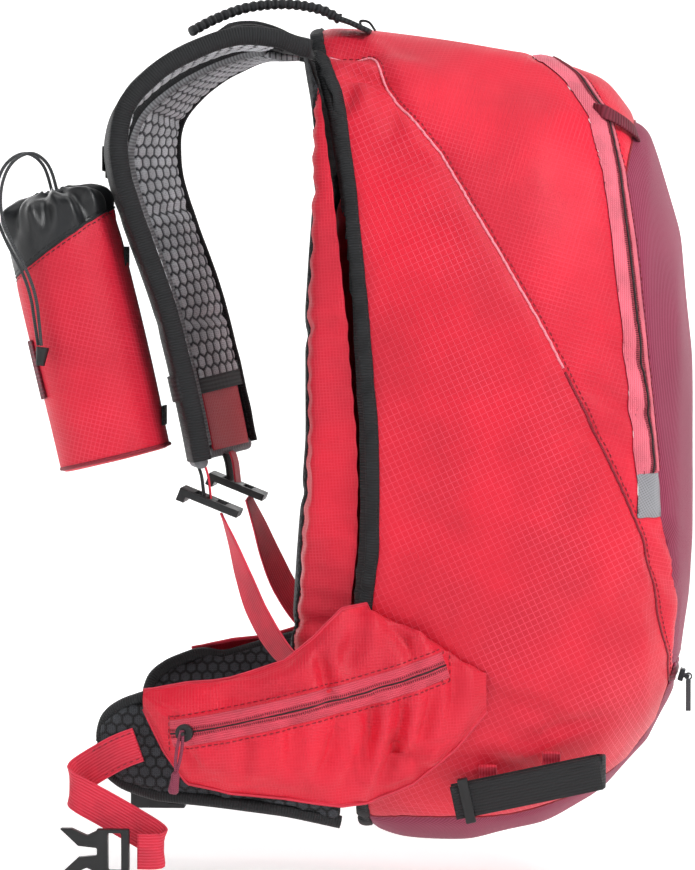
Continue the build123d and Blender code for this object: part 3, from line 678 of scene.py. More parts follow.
def bell(distance, width):
    """1 at a distance of 0, falling smoothly to almost 0 at twice width."""
    return np.exp(-(distance / width) ** 2)


def eased(points, rounds):
    """Rows of points, each moved towards its neighbours; the two ends stay."""
    for _ in range(rounds):
        points[1:-1] = (points[:-2] + 2 * points[1:-1] + points[2:]) / 4
    return points


def grid_rim(size, columns):
    """Numbers of the vertices round the edge of a grid."""
    return [i for i in range(size) if i % columns in (0, columns - 1) or i < columns or i >= size - columns]


def side_map(verts):
    """A UV map laid on from the side."""
    return verts[:, [0, 2]]


def back_map(verts):
    """A UV map laid on from the back."""
    return verts[:, [1, 2]]


def mirrored(verts, faces):
    """The same mesh on the other side of the pack."""
    verts = np.array(verts, float) * (1, -1, 1)
    return verts, [tuple(f)[::-1] for f in faces]


def evaluated(piece):
    """A piece's vertices and faces with its modifiers applied."""
    shape = piece.evaluated_get(bpy.context.evaluated_depsgraph_get()).to_mesh()
    return np.array([v.co for v in shape.vertices]), [list(p.vertices) for p in shape.polygons]


def vertex_normals(verts, faces):
    mesh = bpy.data.meshes.new("normals")
    mesh.from_pydata([tuple(v) for v in verts], [], faces)
    normals = np.array([v.normal for v in mesh.vertices])
    bpy.data.meshes.remove(mesh)
    return normals


# ---------------------------------------------------------------- skins cut into regions


class Skin:
    """A dense surface, cut into regions along the lines where two CAD pieces are equally near."""

    def __init__(self, verts, faces, regions):
        self.regions = list(regions)
        points = [Vector(v) for v in verts]
        reach = np.empty((len(regions), len(points)))
        for row, nodes in enumerate(regions.values()):
            tree = tree_of(nodes)
            reach[row] = [tree.find_nearest(p)[3] for p in points]
        self.cut(points, faces, reach, reach.argmin(axis=0))
        self.finish()

    def cut(self, points, faces, reach, label):
        """Splits every edge that joins two regions, then every face between its new points."""
        bm = bmesh.new()
        mark = bm.verts.layers.int.new("region")
        index = bm.verts.layers.int.new("index")
        made = [bm.verts.new(p) for p in points]
        for i, v in enumerate(made):
            v[mark], v[index] = int(label[i]), i
        for face in faces:
            bm.faces.new([made[i] for i in face])
        fresh = []
        for edge in list(bm.edges):
            first, second = edge.verts
            a, b = first[mark], second[mark]
            if a == b:
                continue
            near = reach[a, first[index]] - reach[b, first[index]]
            far = reach[a, second[index]] - reach[b, second[index]]
            share = min(0.97, max(0.03, near / (near - far) if near != far else 0.5))
            v = bmesh.utils.edge_split(edge, first, share)[1]
            v[mark], v[index] = -1, -1
            fresh.append(v)
        bmesh.ops.connect_verts(bm, verts=fresh)
        bm.verts.index_update()
        self.verts = np.array([v.co for v in bm.verts])
        self.faces, self.labels = [], []
        for face in bm.faces:
            marks = [v[mark] for v in face.verts if v[mark] >= 0]
            self.faces.append([v.index for v in face.verts])
            self.labels.append(max(set(marks), key=marks.count) if marks else -1)
        self.patch_junctions(bm)
        self.find_seams(bm)
        bm.free()

    def patch_junctions(self, bm):
        """Gives a face whose corners all lie on seams the region of a neighbour."""
        bm.faces.index_update()
        bm.faces.ensure_lookup_table()
        for i, label in enumerate(self.labels):
            if label < 0:
                around = [f.index for e in bm.faces[i].edges for f in e.link_faces if f.index != i]
                known = [self.labels[k] for k in around if self.labels[k] >= 0]
                self.labels[i] = known[0] if known else 0

    def find_seams(self, bm):
        """Edges between two regions, by the pair of regions."""
        self.seams = {}
        for edge in bm.edges:
            if len(edge.link_faces) == 2:
                a, b = (self.labels[f.index] for f in edge.link_faces)
                if a != b:
                    key = tuple(sorted((self.regions[a], self.regions[b])))
                    self.seams.setdefault(key, []).append((edge.verts[0].index, edge.verts[1].index))

    def chains(self, *pairs):
        """The seams between these pairs of regions, as lists of vertex numbers in order."""
        links = {}
        for pair in pairs:
            for a, b in self.seams.get(tuple(sorted(pair)), []):
                links.setdefault(a, []).append(b)
                links.setdefault(b, []).append(a)
        found, used = [], set()
        ends = sorted(links, key=lambda v: (len(links[v]) != 1, v))
        for start in ends:
            if start in used:
                continue
            chain = [start]
            used.add(start)
            while True:
                onward = [v for v in links[chain[-1]] if v not in used]
                if not onward:
                    break
                chain.append(onward[0])
                used.add(onward[0])
            if len(chain) > 6:
                found.append(chain)
        return found

    def seam_distance(self):
        """How far each vertex is from the nearest seam."""
        on_seam = sorted({v for edges in self.seams.values() for edge in edges for v in edge})
        tree = KDTree(len(on_seam))
        for i, v in enumerate(on_seam):
            tree.insert(self.verts[v], i)
        tree.balance()
        return np.array([tree.find(p)[2] for p in self.verts])

    def finish(self):
        """Normals and a search tree of the final shape."""
        self.normals = vertex_normals(self.verts, self.faces)
        self.tree = BVHTree.FromPolygons([Vector(v) for v in self.verts], self.faces)

    def push(self, amount):
        """Moves each vertex out along its normal."""
        self.verts = self.verts + self.normals * amount[:, None]
        self.finish()

    def piece(self, name, region, finish, body=None, stands_for=(), uv=None, lift=0.0, keep=None):
        """One region as a piece; keep picks its faces by their middles."""
        number = self.regions.index(region)
        faces = [f for f, label in zip(self.faces, self.labels) if label == number]
        if keep:
            faces = [f for f in faces if keep(self.verts[f].mean(axis=0))]
        used = sorted({i for f in faces for i in f})
        place = {v: i for i, v in enumerate(used)}
        verts = self.verts[used] + self.normals[used] * lift
        local = [[place[i] for i in f] for f in faces]
        return build(name, verts, local, finish, body, stands_for, uv(verts) if uv else None)

    def cord(self, name, chain, radius, finish, body="root", lift=0.1, **shape):
        """A round or flattened cord laid along a seam; lift is in millimetres."""
        points, normals = self.beside(chain, 0.0, lift * MM)
        return tube_piece(name, points, radius * MM, finish, body, normals=normals, **shape)

    def on_skin(self, points, lift=0.0):
        """The nearest points of the skin, and its normals there."""
        found = [self.tree.find_nearest(Vector(p)) for p in points]
        normals = np.array([f[1] for f in found])
        return np.array([f[0] for f in found]) + normals * lift, normals

    def beside(self, chain, offset, lift=0.0):
        """A line at an offset to one side of a seam, laid on the skin, with its normals."""
        rows = resample(eased(self.verts[chain], 4), 2.5 * MM)
        places, normals = self.on_skin(rows)
        along = unit(np.gradient(rows, axis=0))
        return self.on_skin(places + np.cross(along, normals) * offset, lift)


def relax(verts, faces, rounds, pinned=()):
    """Moves each vertex towards the middle of its neighbours."""
    edges = np.array(sorted({tuple(sorted((f[k], f[k - 1]))) for f in faces for k in range(len(f))}))
    for _ in range(rounds):
        total, count = np.zeros_like(verts), np.zeros(len(verts))
        for a, b in ((0, 1), (1, 0)):
            np.add.at(total, edges[:, a], verts[edges[:, b]])
            np.add.at(count, edges[:, a], 1)
        moved = 0.5 * verts + 0.5 * total / np.maximum(count, 1)[:, None]
        moved[list(pinned)] = verts[list(pinned)]
        verts = moved
    return verts


def box_grid(low, high, cell):
    """A closed box of near-square cells, as merged vertices and faces."""
    bm = bmesh.new()
    size = high - low
    for axis in range(3):
        u, v = (axis + 1) % 3, (axis + 2) % 3
        columns, rows = (max(2, round(size[k] / cell)) for k in (u, v))
        for end in (0, 1):
            made = []
            for i in range(columns + 1):
                for j in range(rows + 1):
                    point = [0.0, 0.0, 0.0]
                    point[axis] = high[axis] if end else low[axis]
                    point[u] = low[u] + size[u] * i / columns
                    point[v] = low[v] + size[v] * j / rows
                    made.append(bm.verts.new(point))
            for i in range(columns):
                for j in range(rows):
                    k = i * (rows + 1) + j
                    corners = [made[k], made[k + rows + 1], made[k + rows + 2], made[k + 1]]
                    bm.faces.new(corners if end else corners[::-1])
    bmesh.ops.remove_doubles(bm, verts=bm.verts, dist=1e-6)
    bm.verts.index_update()
    verts = np.array([v.co for v in bm.verts])
    faces = [[v.index for v in f.verts] for f in bm.faces]
    bm.free()
    return verts, faces


def swell(verts, faces, pressure, cap, pinned=()):
    """A short cloth simulation that fills a piece out, with no vertex moving further than cap."""
    mesh = bpy.data.meshes.new("swelling")
    mesh.from_pydata([tuple(v) for v in verts], [], faces)
    piece = bpy.data.objects.new("swelling", mesh)
    scene.collection.objects.link(piece)
    cloth = piece.modifiers.new("cloth", "CLOTH")
    settings = cloth.settings
    settings.quality = 4
    settings.use_pressure = True
    settings.uniform_pressure_force = pressure
    settings.effector_weights.gravity = 0
    settings.tension_stiffness = settings.compression_stiffness = 12
    settings.bending_stiffness = 0.4
    if len(pinned):
        group = piece.vertex_groups.new(name="sewn")
        group.add([int(i) for i in pinned], 1.0, "REPLACE")
        settings.vertex_group_mass = "sewn"
    cloth.point_cache.frame_start, cloth.point_cache.frame_end = 1, CLOTH_FRAMES
    for number in range(1, CLOTH_FRAMES + 1):
        scene.frame_set(number)
    after, _ = evaluated(piece)
    scene.frame_set(1)
    bpy.data.objects.remove(piece)
    move = after - verts
    far = np.maximum(np.linalg.norm(move, axis=1, keepdims=True), 1e-9)
    return verts + move * np.minimum(1, cap / far)


# ---------------------------------------------------------------- cords

# The drawcord's middle line in millimetres, and what share of CORD_SHIFT its strands stand off it.
DRAWCORD = [
    (-143, -85, 146, 1.0), (-145, -86, 157, 1.0), (-149, -91, 168, 1.0), (-158, -98, 174, 1.0),
    (-169, -106, 167, 1.0), (-174, -112, 152, 1.0), (-173, -117, 135, 1.0), (-166, -121, 119, 1.0),
    (-157, -124, 104, 1.0), (-151, -124.5, 88, 1.0), (-149, -124, 72, 0.9), (-147.5, -123, 58, 0.6),
]
CORD_SHIFT = (1.9, -2.4)    # half the distance between the two strands, in x and y, in millimetres
CORD_DIAMETER = 2 * MM


def cord_curve(name, dx, dy):
    """One strand of the bottle holder's drawcord, on a smooth curve through its control points."""
    curve = bpy.data.curves.new(name, "CURVE")
    curve.dimensions = "3D"
    curve.bevel_depth = CORD_DIAMETER / 2
    curve.bevel_resolution = 4
    curve.resolution_u = 16
    spline = curve.splines.new("NURBS")
    spline.points.add(len(DRAWCORD) - 1)
    for point, (x, y, z, k) in zip(spline.points, DRAWCORD):
        point.co = ((x + dx * k) * MM, (y + dy * k) * MM, z * MM, 1)
    spline.order_u = 3
    spline.use_endpoint_u = True
    strand = bpy.data.objects.new(name, curve)
    scene.collection.objects.link(strand)
    material, slot = FINISHES["cord"]
    curve.materials.append(material)
    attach(strand, "strap_left")
    return strand


def build_cords():
    """The two strands that leave the holder's mouth, loop over its collar and end in a moulded tip."""
    finish_node("cord_end", "plastic")
    for node, sign in (("drawcord_front", -1), ("drawcord_rear", 1)):
        dx, dy = sign * CORD_SHIFT[0], sign * CORD_SHIFT[1]
        strand = cord_curve(f"{node}_strand", dx, dy)
        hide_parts(node)


def finish_node(name, finish, bevel=0.35):
    """Gives a CAD node that stays shown its finish, and takes the edge off its corners."""
    material, _ = FINISHES[finish]
    node = NODES[name]
    node.data.materials.clear()
    node.data.materials.append(material)
    weld = node.modifiers.new("weld", "WELD")
    weld.merge_threshold = 0.01 * MM
    if bevel:
        edge = node.modifiers.new("soft_edges", "BEVEL")
        edge.width = bevel * MM
        edge.segments = 2
        edge.limit_method = "ANGLE"
        edge.angle_limit = math.radians(40)


# ---------------------------------------------------------------- bag

BAG_REGIONS = {
    "upper": ["upper_panel"],
    "side": ["side_panel_left", "side_panel_right"],
    "zip": ["main_zip"],
    "patch": ["reflective_patches"],
    "gusset": ["top_gusset"],
    "front": ["front_panel"],
    "bottom": ["bottom_panel"],
    "lower_zip": ["lower_zip"],
    "binding": ["back_binding"],
    "back": ["back_mesh", "back_side_strips", "back_stiffener"],
}
# Folds in the side panels, by their ends (distance from the back, height), width and depth, in millimetres.
BAG_FOLDS = [
    (12, 238, 60, 221, 4.5, -5.0), (30, 221, 62, 213, 4.0, -6.0), (34, 216, 30, 196, 5.0, -3.0),
    (40, 226, 92, 214, 7.0, 2.5), (56, 212, 60, 178, 7.0, -2.2), (44, 168, 100, 160, 8.0, -1.6),
    (50, 122, 104, 128, 9.0, -1.5), (52, 86, 92, 82, 9.0, -1.2), (120, 226, 160, 206, 8.0, -1.6),
    (176, 34, 212, 12, 5.0, -2.2), (168, 12, 210, -10, 6.0, -2.0), (184, 62, 208, 44, 5.0, -1.5),
    (214, -48, 236, -74, 5.0, -2.6), (210, -62, 232, -98, 6.0, -2.4), (206, -84, 224, -124, 6.0, -1.6),
    (64, -40, 120, -70, 14.0, -2.0), (120, -20, 190, -60, 16.0, -1.8), (150, -96, 206, -120, 12.0, -1.6),
    (118, -150, 168, -168, 7.0, -2.4), (140, -178, 190, -164, 6.0, -2.0), (96, -186, 150, -200, 6.0, -2.2),
]


def build_bag():
    """The filled bag: one skin, cut into its sewn panels, with seams, folds and puckers."""
    shell = [n for nodes in BAG_REGIONS.values() for n in nodes if not n.startswith("back_")]
    tree = hull_tree(shell + ["back_binding"])
    corners = [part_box(n) for n in shell]
    low = np.min([c[0] for c in corners], axis=0)
    high = np.max([c[1] for c in corners], axis=0)
    low[0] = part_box("back_binding")[0].x
    verts, faces = box_grid(low, high, BAG_CELL)
    centre = Vector((low + high) / 2)
    for i, v in enumerate(verts):
        ray = (Vector(v) - centre).normalized()
        hit = tree.ray_cast(centre + ray, -ray)[0]
        verts[i] = hit if hit else v
    verts = relax(verts, faces, 14)
    skin = Skin(verts, faces, BAG_REGIONS)
    seam = skin.seam_distance()
    facing = np.abs(skin.normals[:, 1])
    crown = 2.2 * MM * (1 - np.exp(-seam / (30 * MM))) - SEAM_PINCH * bell(seam, 3.5 * MM)
    broad = 2.6 * MM * ripple(skin.verts, (17, 17, 13), 3) * (1 - np.exp(-seam / (12 * MM)))
    pucker = 0.55 * MM * ripple(skin.verts, 62, 5) * np.exp(-seam / (9 * MM))
    folds = 1.3 * creases(skin.verts, facing * 2, BAG_FOLDS)
    skin.push(crown + broad + pucker + folds)
    return skin


def build_panels(skin):
    """Each panel of the bag as its own piece."""
    panels = [
        ("upper_panel_cloth", "upper", "ripstop_top", ["upper_panel"], None),
        ("side_panel_left_cloth", "side", "ripstop_side", ["side_panel_left"], lambda p: p[1] < 0),
        ("side_panel_right_cloth", "side", "ripstop_side", ["side_panel_right"], lambda p: p[1] >= 0),
        ("top_gusset_cloth", "gusset", "ripstop_top", ["top_gusset"], None),
        ("front_panel_cloth", "front", "berry", ["front_panel"], None),
        ("bottom_panel_cloth", "bottom", "berry", ["bottom_panel"], None),
        # The main zip's rear tape takes the light pink of a painted sheen.
        ("main_zip_rear_tape", "zip", "tape_painted_sheen", ["main_zip"], None),
        ("lower_zip_tape", "lower_zip", "burgundy_webbing", ["lower_zip"], None),
        ("binding_backing", "binding", "binding", [], None),
        ("reflective_patch_left", "patch", "patch", ["reflective_patches"], lambda p: p[1] < 0),
        ("reflective_patch_right", "patch", "patch", [], lambda p: p[1] >= 0),
    ]
    for name, region, finish, nodes, keep in panels:
        flat = side_map if region in ("zip", "lower_zip", "binding") else None
        lift = 0.7 * MM if region in ("patch", "zip", "lower_zip") else 0.0
        skin.piece(name, region, finish, "root", nodes, flat, lift, keep)


def longest(chains):
    return max(chains, key=len)


def build_zip(skin):
    """The main zip: coil, dark slit, guard strip and two rows of sewing, over the top from side to side."""
    rear = longest(skin.chains(("zip", "upper"), ("zip", "side")))
    front = longest(skin.chains(("zip", "gusset"), ("zip", "front")))
    middle = [skin.beside(front, sign * 5.6 * MM, 0.9 * MM) for sign in (-1, 1)]
    reach = [skin.on_skin(line[0])[0] for line in middle]
    back = KDTree(len(rear))
    for i, v in enumerate(rear):
        back.insert(skin.verts[v], i)
    back.balance()
    spread = [np.mean([back.find(p)[2] for p in line]) for line in reach]
    sign = -1 if spread[0] < spread[1] else 1
    centre, out = skin.beside(front, sign * 5.6 * MM, 1.1 * MM)
    tube_piece("main_zip_slit", centre, 0.75 * MM, "slit", "root", normals=out, flat=0.8, sides=6)
    for offset, name in ((4.0, "front"), (7.2, "rear")):
        line = skin.beside(front, sign * offset * MM, 1.0 * MM)
        stitches(f"main_zip_coil_{name}", [line], "coil", "root", length=2.3 * MM, pitch=1.25 * MM,
                 radius=0.42 * MM, crossways=True)
    # The guard strip is light pink too, a painted sheen on the tape.
    points, normals = skin.beside(front, sign * 1.6 * MM, 1.0 * MM)
    tube_piece("main_zip_front_guard", points, 2.4 * MM, "tape_painted_sheen", "root", normals=normals,
               flat=0.35, sides=12)
    lines = [skin.beside(front, -sign * 2.4 * MM, 0.3 * MM), skin.beside(front, sign * 13.6 * MM, 0.3 * MM)]
    stitches("main_zip_stitching", lines, "thread", "root")


# Above this height the diagonal seam is a pale cord, a painted highlight along the top of its fold; below it
# the seam is dark red, painted shade.
SEAM_HIGHLIGHT_FROM = 45 * MM        # height above which the diagonal seam shows pale


def build_seams(skin):
    """Raised seam allowance and topstitching along the panel seams."""
    diagonal = skin.chains(("upper", "side"))
    for i, chain in enumerate(diagonal):
        points, normals = skin.beside(chain, 0.0, 0.35 * MM)
        # The upper part of the seam is painted pale as a highlight, and the lower part dark red as painted
        # shade.
        upper = points[:, 2] > SEAM_HIGHLIGHT_FROM
        for part, chosen, finish in (("top", upper, "seam_painted_highlight"), ("foot", ~upper, "thread")):
            if chosen.sum() > 3:
                tube_piece(f"diagonal_seam_{part}_{i}", points[chosen], 0.8 * MM, finish, "root",
                           normals=normals[chosen], sides=8)
    rows = [skin.beside(chain, 2.6 * MM, 0.25 * MM) for chain in diagonal]
    stitches("diagonal_seam_stitching", rows, "thread", "root")
    pairs = [("front", "side"), ("front", "gusset"), ("bottom", "side"), ("lower_zip", "side")]
    for i, chain in enumerate(c for pair in pairs for c in skin.chains(pair)):
        skin.cord(f"panel_seam_{i}", chain, 0.8, "thread", sides=8)
    for region in ("front", "bottom"):
        for i, chain in enumerate(skin.chains(("lower_zip", region))):
            skin.cord(f"lower_zip_edge_{region}_{i}", chain, 1.3, "berry", lift=0.5, flat=0.6)


def build_binding(skin):
    """Black tape bound over the raw edge all round the back, slightly wavy, with a row of sewing."""
    chain = longest(skin.chains(("binding", "side"), ("binding", "upper"), ("binding", "bottom")))
    points = skin.verts[chain]
    rows = resample(eased(np.vstack([points, points[:1]]), 10), 2.2 * MM)
    places, normals = skin.on_skin(rows)
    along = unit(np.roll(rows, -1, 0) - np.roll(rows, 1, 0))
    across = unit(np.cross(along, normals))
    if across[np.argmin(rows[:, 1])][0] > 0:
        across = -across
    centre = places + across * 3.6 * MM + normals * 0.4 * MM
    rise, sway = 0.35 * MM * ripple(centre, 48, 9), 0.5 * MM * ripple(centre, 40, 11)
    centre += normals * rise[:, None] + across * sway[:, None]
    for _ in range(2):
        centre = (np.roll(centre, 1, 0) + 2 * centre + np.roll(centre, -1, 0)) / 4
    tube_piece("back_edge_binding", centre, 4.2 * MM, "binding", "root", ["back_binding"], closed=True,
               normals=normals, flat=0.42, sides=18)
    edge = skin.on_skin(places + across * 1.2 * MM, 1.3 * MM)
    stitches("back_edge_stitching", [edge], "black_thread", "root")


# ---------------------------------------------------------------- padded back

# The pad's edge on the bag: its distance from the wearer's back at each height, in millimetres.
BACK_EDGE = [(-226, 34), (-130, 36), (-60, 45), (0, 45), (80, 38), (150, 30), (205, 21), (236, 8)]
BACK_CHANNELS = (-120, -40, 55, 140)        # heights of the channels pressed across the pad
BACK_ROWS, BACK_COLUMNS = 150, 110


def build_back():
    """The cushioned back: mesh middle with pressed channels, ripstop side strips with scalloped sewing."""
    tree = tree_of(["back_mesh", "back_side_strips"])
    low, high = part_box("back_foam")
    rows = []
    for z in np.linspace(low.z + 1 * MM, high.z - 1 * MM, BACK_ROWS):
        foot = np.interp(z / MM, *zip(*BACK_EDGE)) - 1.0
        centre = Vector((foot * MM, 0, z))
        row = []
        for angle in np.radians(np.linspace(-89.8, 89.8, BACK_COLUMNS)):
            ray = Vector((-math.cos(angle), math.sin(angle), 0))
            hit = tree.ray_cast(centre + ray * 0.2, -ray, 0.2)[0]
            row.append(hit if hit else (row[-1] if row else centre + ray * 0.06))
        rows.append(row)
    verts, faces = loft(np.array(rows), wrap=False)
    verts = relax(verts, faces, 6)
    verts = swell(verts, faces, 3.0, 5 * MM, grid_rim(len(verts), BACK_COLUMNS))
    skin = Skin(verts, faces, {"mesh": ["back_mesh"], "strip": ["back_side_strips"]})
    if skin.normals[:, 0].mean() > 0:
        skin.faces = [f[::-1] for f in skin.faces]
        skin.finish()
    seam = skin.seam_distance()
    y, z = skin.verts[:, 1], skin.verts[:, 2]
    channel = -2.6 * MM * bell(y, 13 * MM) * np.clip((200 * MM - np.abs(z)) / (30 * MM), 0, 1)
    for height in BACK_CHANNELS:
        channel -= 1.6 * MM * bell(z - height * MM - 0.12 * np.abs(y), 5 * MM)
    pinch = -1.2 * MM * bell(seam, 4 * MM)
    pucker = 0.7 * MM * ripple(skin.verts, 50, 15) * np.exp(-seam / (10 * MM))
    strip = np.abs(y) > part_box("back_mesh")[1].y
    wave = 0.6 * MM * np.sin(z / MM * 0.42 + 2 * ripple(skin.verts, 14, 17)) * strip
    skin.push(channel + pinch + pucker + wave)
    nodes = ["back_mesh", "back_foam"]
    skin.piece("back_mesh_pad", "mesh", "dark_mesh", "root", nodes, back_map)
    skin.piece("back_side_cloth", "strip", "ripstop_pocket", "root", ["back_side_strips", "back_stiffener"])
    for i, chain in enumerate(skin.chains(("mesh", "strip"))):
        skin.cord(f"back_seam_{i}", chain, 1.1, "binding", lift=0.2, sides=8)
        stitches(f"back_stitching_{i}", [skin.beside(chain, s * 3.4 * MM, 0.25 * MM) for s in (-1, 1)],
                 "black_thread", "root")


# ---------------------------------------------------------------- shoulder straps

# Middle lines on the right side: distance from the wearer's back, sideways and up, in millimetres.
STRAP_LINE = [
    (-2, 58, 240), (-18, 66, 243.5), (-36, 72, 243), (-54, 77, 237.5), (-71, 81, 229.5), (-86, 84, 219),
    (-99, 86, 206), (-106, 87, 192), (-108.4, 88, 176), (-106.5, 88, 160), (-102, 88, 144), (-95, 87, 124),
    (-87, 86, 102), (-79.5, 86, 80), (-73.5, 85, 57), (-68, 85, 34), (-63, 85, 11), (-58.5, 85, -12),
]
STRAP_END = [(-58.5, 85, -8), (-57.4, 85, -14), (-55.2, 85, -21), (-54.0, 85, -30), (-53.5, 85, -36)]
LOWER_LINE = [
    (-43, 86, -44), (-36, 88, -62), (-29, 91, -82), (-20, 97, -103), (-6, 104, -124), (14, 109, -142),
]
STRAP_YAW = {"left": 10, "right": 25}       # how far each strap's face is turned in at the chest, degrees
STRAP_WIDTH, STRAP_THICK, STRAP_MESH = 62, 9, 2.5
KEEPER_HEIGHT, KEEPER_LENGTH = 32, 75       # the elastic keeper's height, and half the way round it
QUILTING = (203, 138, 70)   # heights of the lines sewn across a strap's mesh
HEX_CELL = 9 * MM


def on_side(points, side):
    return [(x, SIDES[side] * y, z) for x, y, z in points]


def strap_across(side, count):
    """Width directions of a strap, turning in from the shoulder to the chest."""
    turns = [math.radians(STRAP_YAW[side]) * min(1.0, k / 8) for k in range(count)]
    return [(math.sin(t), SIDES[side] * math.cos(t), 0) for t in turns]


def hexagon(uv, cell):
    """How near each point is to the edge of its hexagon: 0 in the middle, 1 at the edge."""
    span = np.array([1.0, math.sqrt(3)])
    scaled = uv / cell
    first = (scaled + span / 2) % span - span / 2
    second = scaled % span - span / 2
    nearer = (np.sum(second ** 2, axis=-1) < np.sum(first ** 2, axis=-1))[..., None]
    offset = np.abs(np.where(nearer, second, first))
    return 2 * np.maximum(offset[..., 0], offset[..., 0] / 2 + offset[..., 1] * math.sqrt(3) / 2)


def strap_face_section(width, thickness, columns):
    """A thin section whose inner side has many points, for the mesh's padded hexagons."""
    edge, face = width / 2, thickness / 2
    top = [(u, face) for u in np.linspace(edge, -edge, columns)]
    return top + [(-edge - 0.4, 0.0), (-edge, -face), (edge, -face), (edge + 0.4, 0.0)]


